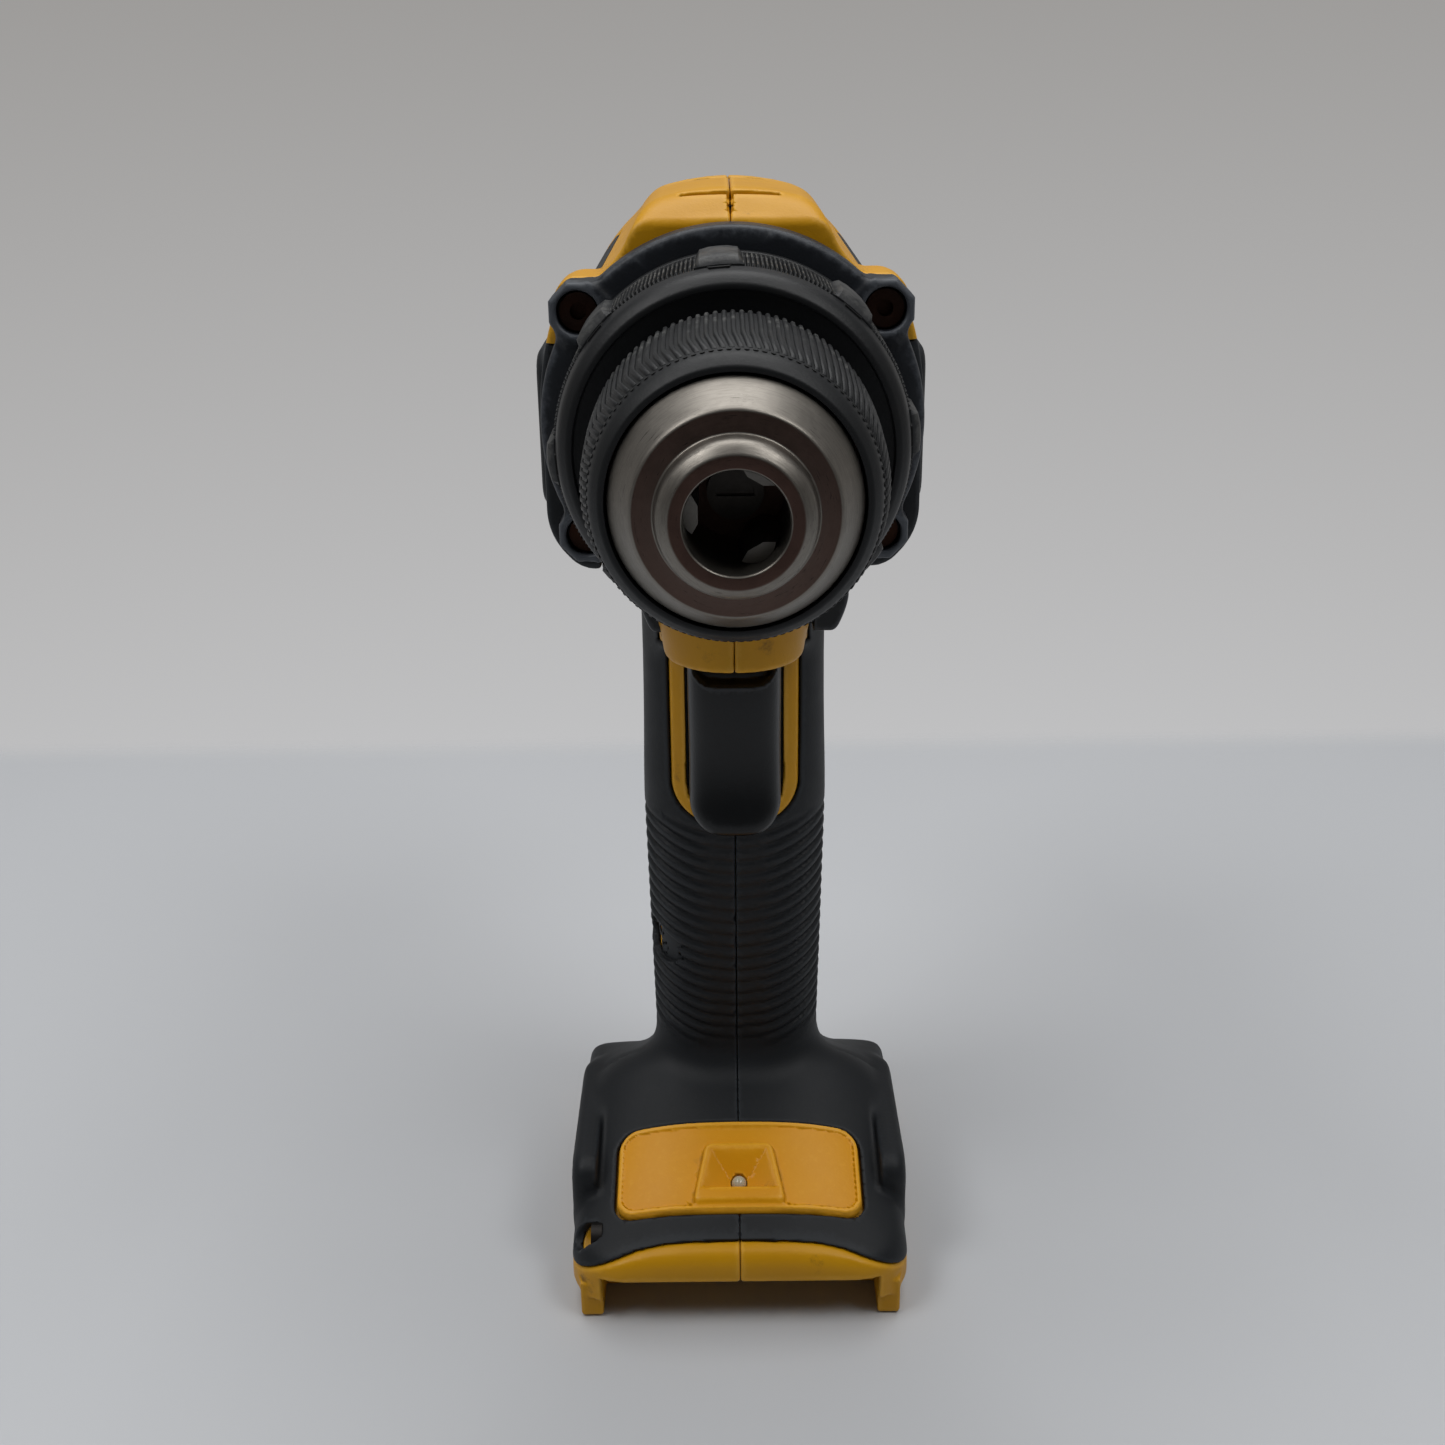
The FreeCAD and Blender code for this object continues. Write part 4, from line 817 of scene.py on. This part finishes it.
def speed_slider(x, y, z):
    """The knob, the plate under the hood that it stands on, and the fork over the shift wire."""
    u = z - AXIS_Z
    plan = rounded_in_plan(x, y - KNOB_MIDDLE_Y, 6.0, -7, 7, 1.2)
    knob = soft_max(plan, between(u, 29.5, KNOB_TOP), 0.5)
    wave = np.cos(2 * math.pi * (y - FIRST_THUMB_GROOVE) / THUMB_GROOVE_PITCH)
    knob = np.maximum(knob, u - KNOB_TOP + 0.35 * (1 + wave))
    carriage = np.maximum(np.maximum(np.abs(x) - 9, between(y, -12, 25)), between(u, 29, 30.6))
    fork = np.maximum(np.maximum(np.abs(x) - 4, between(y, -11.5, -6.3)), between(u, 26.4, 29.5))
    return np.minimum(np.minimum(knob, carriage), fork)


slider = formed_piece("speed_slider", speed_slider, (-10, -13, 205), (10, 26, 215.5), FINE,
                      satin_nylon)
settle(slider, "speed", "trigger", "speed_button")


# ---- housing shells -------------------------------------------------------------------------
# Two shells moulded in yellow glass-filled nylon, screwed together on the middle plane. They
# hold the motor, the gear housing and the switch, and carry the battery rails.
BARREL_R = 31.0
BACK_Y = 95.0
HOOD_TOP = 35.6
WALL = 2.4
SKIN = 1.8
NECK = {"z": (133.6, 147, 168), "half": (12.2, 15.6, 27.0), "front": (-24.0, -25.5, -27.0),
        "back": (20, 60, 70)}
GRIP = {"z": (30, 65, 98, 115, 133, 152), "half": (17.6, 18.0, 18.3, 17.8, 17.6, 17.6),
        "front": (6, 0, -6, -7, -7, -7), "back": (46, 42, 43, 46, 50, 56)}
FOOT_HALF = 34.0
FOOT_FRONT, FOOT_BACK = -37.0, 46.0
FOOT_SLOPE = 0.4
BAY_CEILING = 10.7
LEG_HALF = 32.0
LEG_WALL = 4.5
LEG_FRONT, LEG_BACK = -34.0, 44.0
LIP_FRONT = -25.0
BAY_BACK = 41.0
PANEL_FRONT = -28.0                 # rubber side panels start behind the flange
PANEL_BACK = 60.0


def along(z, stations, size):
    """A size that changes smoothly between level stations."""
    shifts = (-6, -3, 0, 3, 6)
    return sum(np.interp(z + shift, stations["z"], stations[size]) for shift in shifts) / 5


def foot_top(x, y):
    """Height of the crowned top of the foot."""
    middle = soft_min(17.0 + FOOT_SLOPE * (y + 36.0), 33.5 - 0.65 * (y - 15.0), 6)
    bulge = np.clip(np.abs(x) / 34.5, 0, 0.999) ** 2.6
    fall = 18.0 * np.clip((34 - y) / 20, 0.2, 1)
    return middle - fall * (1 - np.sqrt(1 - bulge)) * (middle - 5) / 31.0


def body_form(x, y, z):
    """The whole outside of the drill's body, negative inside."""
    u = z - AXIS_Z
    side = np.abs(x)
    barrel = np.hypot(x, u) - BARREL_R
    crown = HOOD_TOP - 0.011 * x ** 2 - 0.055 * np.maximum(y - 2, 0)
    hood = soft_max(u - crown, 0.898 * (side - 13) + 0.441 * (u - HOOD_TOP), 2.5)
    hood = soft_max(hood, -0.573 * (y + 22) + 0.819 * (u - HOOD_TOP + 1.1), 2.0)
    hood = soft_max(hood, 0.124 * (y - 48) + 0.992 * (u - HOOD_TOP), 2.0)
    hood = soft_max(hood, 0.406 * (y - 64) + 0.914 * (u - HOOD_TOP + 2.0), 5.0)
    hood = np.maximum(hood, -u)
    wings = soft_max(side - 31.4, 0.934 * (side - 26.8) + 0.358 * (u - 22.0), 3.0)
    wings = soft_max(wings, 0.743 * (side - 31.4) - 0.669 * (u + 20), 3.0)
    wing_top = 22.3 - 9.0 * np.clip((y + 17) / 7, 0, 1)
    wings = soft_max(wings, soft_max(np.maximum(-26 - u, u - wing_top), y - 58, 2.0), 2.0)
    upper = soft_min(soft_min(barrel, hood, 1.5), wings, 1.5)
    upper = soft_max(upper, y - BACK_Y, 22)
    neck_half = along(z, NECK, "half")
    neck = rounded_in_plan(x, y, neck_half, along(z, NECK, "front"), along(z, NECK, "back"),
                           neck_half * 0.93)
    neck = soft_max(neck, between(z, 133.6, 172), 1.2)
    grip = rounded_in_plan(x, y, along(z, GRIP, "half"), along(z, GRIP, "front"),
                           along(z, GRIP, "back"), 13.0)
    grip = np.maximum(grip, between(z, 20, 160))
    foot = rounded_in_plan(x, y, FOOT_HALF, FOOT_FRONT, FOOT_BACK, 11.0)
    foot = soft_max(foot, (z - foot_top(x, y)) * 0.88, 3.5)
    foot = soft_max(foot, 5.0 - z, 0.6)
    upper = soft_max(soft_min(upper, neck, 3.0), -27.0 - y, 0.8)
    return soft_min(soft_min(upper, grip, 6.0), foot, 6.0)


def rubber_zone(x, y, z):
    """Negative where the rubber skin covers the shells."""
    side = np.abs(x)
    top_line = 133.5 + 14.0 * np.clip((y - 4.0) / 42.0, 0, 1) ** 1.5
    trigger_frame = np.maximum(rounded_in_plan(x, z, 12.5, 95.5, 170, 9.0), y - 4)
    grip_zone = np.maximum(np.maximum(z - top_line, 30 - z), -7.6 - y)
    grip_zone = soft_max(grip_zone, -trigger_frame, 0.4)
    rim = 17.5 - 8.5 * np.clip(side / 34, 0, 1.1) ** 3.5
    foot_zone = np.maximum(rim - z, z - 45)
    side_zone = np.maximum(np.maximum(32.3 - side, 6.6 - z), np.maximum(-25 - y, y - 38))
    side_zone = np.maximum(side_zone, z - 20)
    u = z - AXIS_Z
    panel_top = np.where(y < -14, 18.0, 23.0)
    panel = np.maximum(22.5 - side, np.maximum(-28 - u, u - panel_top))
    panel = np.maximum(panel, y - PANEL_BACK)
    panel = np.maximum(panel, np.where(u < 12, PANEL_FRONT, PANEL_FRONT + 2.5) - y)
    cheek = np.maximum(np.maximum(14.0 - side, between(z, 128, 152)), -5.4 - y)
    grip_zone = np.minimum(grip_zone, cheek)
    return np.minimum(np.minimum(grip_zone, foot_zone), np.minimum(side_zone, panel))


# y, z, outer face at -x, radius of the boss
HOUSING_SCREWS = ((76.4, 202, 19.5, 4.0), (76.4, 158, 19.5, 4.0), (36, 126, 17.0, 4.0),
                  (12, 62, 17.5, 4.0), (-28, 14.8, 33.0, 3.0), (37, 14.4, 33.0, 3.0))
HEAD_REST = 5.4                     # screw heads bear this far below the outer face
HEAD_ROOM_R = 3.0
SHANK_ROOM_R = 1.55


def screw_room(x, y, z):
    """Negative in the screws' counterbores and shank holes."""
    room = 9.0
    for screw_y, screw_z, face, _ in HOUSING_SCREWS:
        from_screw = np.hypot(y - screw_y, z - screw_z)
        room = np.minimum(room, np.maximum(from_screw - HEAD_ROOM_R, x + face - HEAD_REST))
        room = np.minimum(room, np.maximum(from_screw - SHANK_ROOM_R, x + face - 28.5))
    return room


def label_outline(x, y, grow):
    """The label plate's outline, seen square to the slope."""
    return rounded_in_plan(x, y, 25.0 + grow, -27.6 - grow, -8.5 + grow, 4.0)


LED_Y = -20.6
LED_ROOM_R = 1.75
HOOD_SLOT_HALF = 8.0


def led_line(x, y, z):
    """Distance from the line that the work light shines along, square to the slope."""
    along_y, along_z = -0.371, 0.928
    dy, dz = y - LED_Y, z - (17.0 + FOOT_SLOPE * (LED_Y + 36.0))
    forward = dy * along_y + dz * along_z
    return np.sqrt(x ** 2 + np.maximum(dy ** 2 + dz ** 2 - forward ** 2, 0)), forward


def shell_openings(x, y, z, outer):
    """Negative in the vents, windows and pockets that go through the shells."""
    u = z - AXIS_Z
    side = np.abs(x)
    bay = np.maximum(side - LEG_HALF + LEG_WALL, np.maximum(y - BAY_BACK, z - BAY_CEILING))
    rear_vents = np.maximum(rounded_in_plan(u, (y - 65) % 4.0, 9.0, 1.0, 3.0, 0.9),
                            np.maximum(between(y, 65, 81), 20 - side))
    front_vents = np.maximum(rounded_in_plan(u - 14.75, (y - 11) % 4.0, 4.25, 1.0, 3.0, 0.9),
                             np.maximum(between(y, 11, 27), 20 - side))
    front_vents = np.maximum(front_vents, 5 - u)
    trigger_mouth = np.maximum(rounded_in_plan(x, z, 9.3, 97.6, 140, 6.6),
                               np.maximum(between(y, -14, 8), z - 133.4))
    flange_room = np.maximum(np.maximum(side - 11, between(y, -2.9, 6.4)), between(z, 96, 135))
    bar_room = np.maximum(between(y, -14.4, -5.6), between(z, 137.6, 146.4))
    arm_room = np.maximum(np.maximum(between(x, -3.5, 7.5), between(y, -8, 14)),
                          between(z, 132, 144.5))
    knob_room = np.maximum(np.maximum(side - 6.4, between(y, 6.2, 26.2)), 28 - u)
    slide_room = np.maximum(np.maximum(side - 9.4, between(y, -13, 31)), between(u, 28.4, 31.2))
    block_room = np.maximum(np.maximum(side - 16.3, between(y, 21.7, 34.3)), z - 18)
    label_room = np.maximum(label_outline(x, y, 0.15), np.maximum(-outer - 1.35, z - 45))
    from_led, forward = led_line(x, y, z)
    led_room = np.maximum(from_led - LED_ROOM_R, between(forward, -8, 3))
    funnel_room = np.maximum(rounded_in_plan(x, y - LED_Y, 8.4, -3.9, 6.0, 1.0),
                             np.maximum(-outer - 4.3, z - 45))
    board_room = np.maximum(np.maximum(side - 4.2, between(y, LED_Y - 3.2, LED_Y + 3.2)),
                            between(z, BAY_CEILING + 2.5, 16.5))
    cross_slot = np.maximum(side - HOOD_SLOT_HALF, between(y, -21.3, -20.1))
    cross_slot = np.maximum(cross_slot, -outer - 1.3)
    seam_slot = np.maximum(np.maximum(side - 0.45, between(y, -24.8, -21.2)), -outer - 1.2)
    hood_slots = np.maximum(np.minimum(cross_slot, seam_slot), 30 - u)
    openings = bay
    for opening in (rear_vents, front_vents, trigger_mouth, flange_room, bar_room, arm_room,
                    knob_room, slide_room, block_room, label_room, led_room, funnel_room,
                    board_room, hood_slots, screw_room(x, y, z)):
        openings = np.minimum(openings, opening)
    return openings


def shell_form(x, y, z):
    """Both yellow shells together."""
    u = z - AXIS_Z
    side = np.abs(x)
    r = np.hypot(x, u)
    outer = body_form(x, y, z)
    yellow = soft_max(outer, 0.22 - rubber_zone(x, y, z), 0.7)
    yellow = np.minimum(yellow, outer + SKIN)
    hollow = np.maximum(outer + WALL + SKIN, 13.2 - z)
    hollow = np.maximum(hollow, -np.maximum(y + 5, between(z, 100, 131.5)))
    barrel_room = np.maximum(r - BARREL_R + WALL, y - 87)
    hood_room = np.maximum(np.maximum(side - 11, between(y, -22, 45)), between(u, 0, 32.6))
    hollow = np.minimum(np.minimum(hollow, barrel_room), hood_room)
    form = soft_max(yellow, -hollow, 0.5)
    for screw_y, screw_z, face, boss in HOUSING_SCREWS:
        post = np.maximum(np.hypot(y - screw_y, z - screw_z) - boss, side - face + 1)
        form = np.minimum(form, np.maximum(post, outer + SKIN))
    ear_r = np.where(u < 0, 3.4, 4.5)
    ears = np.maximum(np.hypot(side - EAR_X, np.abs(u) - EAR_Z) - ear_r, between(y, -27, -12))
    ears = soft_max(ears, 0.5 * (y + 16) + 0.86 * (r - 33.5), 2.0)
    form = soft_min(form, ears, 1.5)
    form = np.maximum(form, -np.maximum(r - 24.8, between(y, -30, 8)))
    form = np.maximum(form, -np.maximum(
        np.hypot(side - EAR_X, np.abs(u) - EAR_Z) - 1.7, between(y, -30, -11)))
    form = soft_max(form, -shell_openings(x, y, z, outer), 0.25)
    wall = np.maximum(between(side, LEG_HALF - LEG_WALL, LEG_HALF),
                      np.maximum(between(y, LEG_FRONT, LEG_BACK), between(z, 0, 8)))
    lip = np.maximum(between(side, LEG_HALF - LEG_WALL - 3, LEG_HALF - 1),
                     np.maximum(between(y, LIP_FRONT, LEG_BACK), between(z, 0, 2.2)))
    legs = soft_max(np.minimum(wall, lip), -z, 0.8)
    return soft_min(form, legs, 0.8)


SEAM_GAP = 0.05
yellow_nylon = moulded("glass_filled_nylon_yellow", "#CD9500", "#B98200", 0.42, 0.45,
                       "#D8A43A", "#513509", wear=0.4, soil=0.75)
BODY_BOX = ((-35.2, -38.5, -1.2), (35.2, 96.2, 216.8))


def half_of(form, side, rounding=0.5):
    """One half of a form, cut at the middle plane with a slightly rounded seam."""
    return lambda x, y, z: soft_max(form(x, y, z), SEAM_GAP - side * x, rounding)


for name, side in (("left", 1), ("right", -1)):
    low, high = list(BODY_BOX[0]), list(BODY_BOX[1])
    if side > 0:
        low[0] = -1.2
    else:
        high[0] = 1.2
    shell = formed_piece(f"shell_{name}", half_of(shell_form, side), low, high, ROUGH,
                         yellow_nylon, 0.03)
    settle(shell, "root", "housing", f"housing_{name}")

# ---- rubber skin ----------------------------------------------------------------------------
# Soft black TPE rubber moulded over the shells on the grip and the foot, ribbed where the
# fingers close on it, with a bumper pad on each side of the motor.
RIB_PITCH = 3.0
RIB_DEPTH = 0.75
SCREW_HOLE_R = 2.7


def rubber_form(x, y, z):
    """The skin with its grip ribs, the bulges on the foot's sides, and its cut-outs."""
    outer = body_form(x, y, z)
    side = np.abs(x)
    bow = 0.022 * x ** 2 + 0.004 * (y - 20) ** 2
    zone = np.clip((z - 38) / 5, 0, 1) * np.clip((97 - z) / 4, 0, 1)
    fade = 0.35 + 0.65 * np.clip((side - 5) / 5, 0, 1)
    groove = 0.5 + 0.5 * np.cos(2 * math.pi * (z - bow) / RIB_PITCH)
    ribbed = outer + RIB_DEPTH * groove ** 2 * zone * fade
    pad = soft_max(soft_max(between(y, -20, 22), between(z, 8.5, 25.5), 5), side - 34.45, 3)
    ribbed = soft_min(ribbed, soft_max(pad, 29 - side, 1), 1.5)
    form = soft_max(ribbed, rubber_zone(x, y, z), 0.9)
    form = np.maximum(form, -(outer + SKIN - 0.1))
    label_room = np.maximum(label_outline(x, y, 0.3), z - 45)
    form = soft_max(form, -label_room, 0.5)
    tear = np.hypot((y - 7.5) * 0.75, np.where(z > 62, (z - 62) * 0.6, z - 62)) - 3.6
    form = soft_max(form, -np.maximum(np.maximum(tear, x), -outer - 1.3), 0.4)
    foot_screws = np.minimum(np.hypot(y + 28, z - 14.8), np.hypot(y - 37, z - 14.4))
    grip_screws = np.minimum(np.hypot(y - 36, z - 126), np.hypot(y - 12, z - 62))
    screws = np.minimum(np.maximum(foot_screws - SCREW_HOLE_R, x + 28.5),
                        np.maximum(grip_screws - SCREW_HOLE_R, x + 11))
    return soft_max(form, -screws, 0.3)


tpe_rubber = moulded("tpe_rubber_black", "#14171B", "#101316", 0.55, 0.6,
                     "#2C3034", "#2A2825", wear=0.4, soil=0.2)
for name, side in (("left", 1), ("right", -1)):
    low, high = [-35.2, -38.5, 4.0], [35.2, 62.0, 205.0]
    if side > 0:
        low[0] = -1.2
    else:
        high[0] = 1.2
    skin = formed_piece(f"rubber_{name}", half_of(rubber_form, side, 0.2), low, high, ROUGH,
                        tpe_rubber, 0.02)
    settle(skin, "root", "overmould", f"overmould_{name}")

    def pad_form(x, y, z, side=side):
        """The bumper pad on this side: a rounded slab with a shallow dish in its face."""
        u = z - AXIS_Z
        plan = rounded_in_plan(u + 6.75, y, 14.75, -6.0, 52.0, 5.0)
        slab = soft_max(plan, between(side * x, 31.3, 34.5), 3.0)
        dish = rounded_in_plan(u + 6.75, y, 10.5, -1.0, 47.0, 3.0)
        return soft_max(slab, -np.maximum(dish, 33.9 - side * x), 0.6)

    low, high = sorted((side * 30.6, side * 35.2))
    pad = formed_piece(f"bumper_{name}", pad_form, (low, -7, 157), (high, 53, 190), FINE,
                       tpe_rubber, 0.02)
    settle(pad, "root", "overmould")

# ---- label plate and work light -------------------------------------------------------------
# A yellow plate set into the slope of the foot, with a raised rim. The work light sits at the
# bottom of a square funnel in it, and shines up past the chuck.
LIGHT_HOLE_R = 1.7
FUNNEL_DEPTH = 4.2


def label_form(x, y, z):
    """The plate, the ridge round it, and the raised block with the light's funnel in it."""
    outer = body_form(x, y, z)
    outline = label_outline(x, y, -0.15)
    rim = np.maximum(outline, -(outline + 1.1))
    plate = soft_max(np.maximum(outer - 0.15, -outer - 1.2), outline, 0.5)
    ridge = soft_max(soft_max(np.maximum(outer - 0.55, -outer - 1.2), rim, 0.4), outline, 0.4)
    form = np.minimum(plate, ridge)
    behind = y - LED_Y
    block = soft_max(np.abs(x) - 8.2 + 0.2 * behind, between(behind, -5.8, 6.6), 1.5)
    raised = soft_max(np.maximum(outer - 1.3, -outer - 1.2), block, 0.8)
    cup = np.maximum(block + 1.2, np.maximum(outer - 1, -outer - 4.1))
    form = soft_min(form, np.minimum(raised, cup), 0.6)
    depth = FUNNEL_DEPTH * (1 - np.maximum(np.abs(x) / (7.0 - 0.27 * behind),
                                  np.maximum(behind / 5.1, -behind / 3.1)))
    form = soft_max(form, (outer - 1.3 + depth) * 0.75, 0.3)
    from_led = led_line(x, y, z)[0]
    return np.maximum(form, LIGHT_HOLE_R - from_led)


label_nylon = moulded("abs_label_yellow", "#DF9A03", "#D08B02", 0.38, 0.5,
                      "#F6BC3F", "#6E5117", wear=0.35, soil=0.4)
label = formed_piece("label_face", label_form, (-26.5, -29.5, 10), (26.5, -6.5, 32), FINE,
                     label_nylon, 0.02)
settle(label, "root", "label", "label_plate")

# The lamp is a clear epoxy dome over a cream-coloured phosphor.
lamp, tree, shader, place = new_material(
    "led_clear_epoxy", {"Base Color": linear("#D8D2B8"), "Roughness": 0.12, "IOR": 1.55,
                        "Transmission Weight": 0.35})
finish_nodes(lamp, "work_light")

# ---- table, light and camera ----------------------------------------------------------------
# A pale matt table whose far edge fades into a plain grey room, brighter below than above and
# darker on the near side, and soft light from three panels overhead.
FLOOR_HALF = 1.5
FAR_EDGE = 0.275
floor_mesh = bpy.data.meshes.new("table_top")
floor_mesh.from_pydata([(-FLOOR_HALF, -FLOOR_HALF, -0.0002), (FLOOR_HALF, -FLOOR_HALF, -0.0002),
                        (FLOOR_HALF, FAR_EDGE, -0.0002), (-FLOOR_HALF, FAR_EDGE, -0.0002)],
                       [], [(0, 1, 2, 3)])
floor = bpy.data.objects.new("table_top", floor_mesh)
bpy.context.scene.collection.objects.link(floor)
table_paint, tree, shader, place = new_material(
    "table_paint", {"Base Color": linear("#BCBEC1"), "Roughness": 0.6})
split = add(tree, "ShaderNodeSeparateXYZ", links={0: place})
fade = add(tree, "ShaderNodeMapRange",
           {"interpolation_type": "SMOOTHSTEP", "From Min": 252.0, "From Max": FAR_EDGE / MM,
            "To Min": 1.0, "To Max": 0.0}, {"Value": split.outputs[1]})
tree.links.new(fade.outputs[0], shader.inputs["Alpha"])
floor_mesh.materials.append(table_paint)
floor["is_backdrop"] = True

world = bpy.data.worlds.new("studio")
bpy.context.scene.world = world
world.use_nodes = True
room = world.node_tree
direction = add(room, "ShaderNodeTexCoord")
height = add(room, "ShaderNodeSeparateXYZ", links={0: direction.outputs["Generated"]})
rise = add(room, "ShaderNodeMapRange", {"From Min": -0.38, "From Max": 0.05},
           {"Value": height.outputs[2]})
wall_tone = add(room, "ShaderNodeMix",
                {"data_type": "RGBA", 6: linear("#C0C0C1"), 7: linear("#9C9A98")},
                {0: rise.outputs[0]})
overhead = add(room, "ShaderNodeMapRange", {"From Min": 0.1, "From Max": 0.5},
               {"Value": height.outputs[2]})
room_tone = add(room, "ShaderNodeMix", {"data_type": "RGBA", 7: linear("#77787A")},
                {0: overhead.outputs[0], 6: wall_tone.outputs[2]})
room.links.new(room_tone.outputs[2], room.nodes["Background"].inputs[0])
near_side = add(room, "ShaderNodeMapRange", {"From Min": -0.3, "From Max": 0.25, "To Min": 0.3},
                {"Value": height.outputs[1]})
room.links.new(near_side.outputs[0], room.nodes["Background"].inputs[1])

PANELS = (
    ("panel_left", (-0.55, -0.25, 0.95), 0.40, 3.5),
    ("panel_right", (0.50, -0.30, 0.95), 0.40, 3.0),
    ("panel_top", (0.0, 0.30, 1.20), 0.9, 8.5),
)
for name, place, size, power in PANELS:
    light = bpy.data.lights.new(name, "AREA")
    light.shape = "SQUARE"
    light.size = size
    light.energy = power
    panel = bpy.data.objects.new(name, light)
    bpy.context.scene.collection.objects.link(panel)
    panel.location = place
    aim = Vector((0, 0, 0.12)) - Vector(place)
    panel.rotation_euler = aim.to_track_quat("-Z", "Y").to_euler()

VIEW_FROM = Vector((-1.75, -299.0, 235.0)) * MM
PITCH = math.radians(21.9)
YAW = math.radians(-0.1)
ROLL = math.radians(-0.7)
LENS = 41.26
forward = Vector((math.sin(YAW) * math.cos(PITCH), math.cos(YAW) * math.cos(PITCH),
                  -math.sin(PITCH)))
level = Vector((math.cos(YAW), -math.sin(YAW), 0))
upward = level.cross(forward)
right = level * math.cos(ROLL) + upward * math.sin(ROLL)
upward = upward * math.cos(ROLL) - level * math.sin(ROLL)
camera_data = bpy.data.cameras.new("camera")
camera_data.lens = LENS
camera_data.sensor_width = 36.0
camera_data.clip_start = 0.01
camera = bpy.data.objects.new("camera", camera_data)
bpy.context.scene.collection.objects.link(camera)
camera.matrix_world = Matrix.Translation(VIEW_FROM) @ Matrix(
    (right, upward, -forward)).transposed().to_4x4()
bpy.context.scene.camera = camera
bpy.context.scene.view_settings.view_transform = "Standard"

low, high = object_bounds()
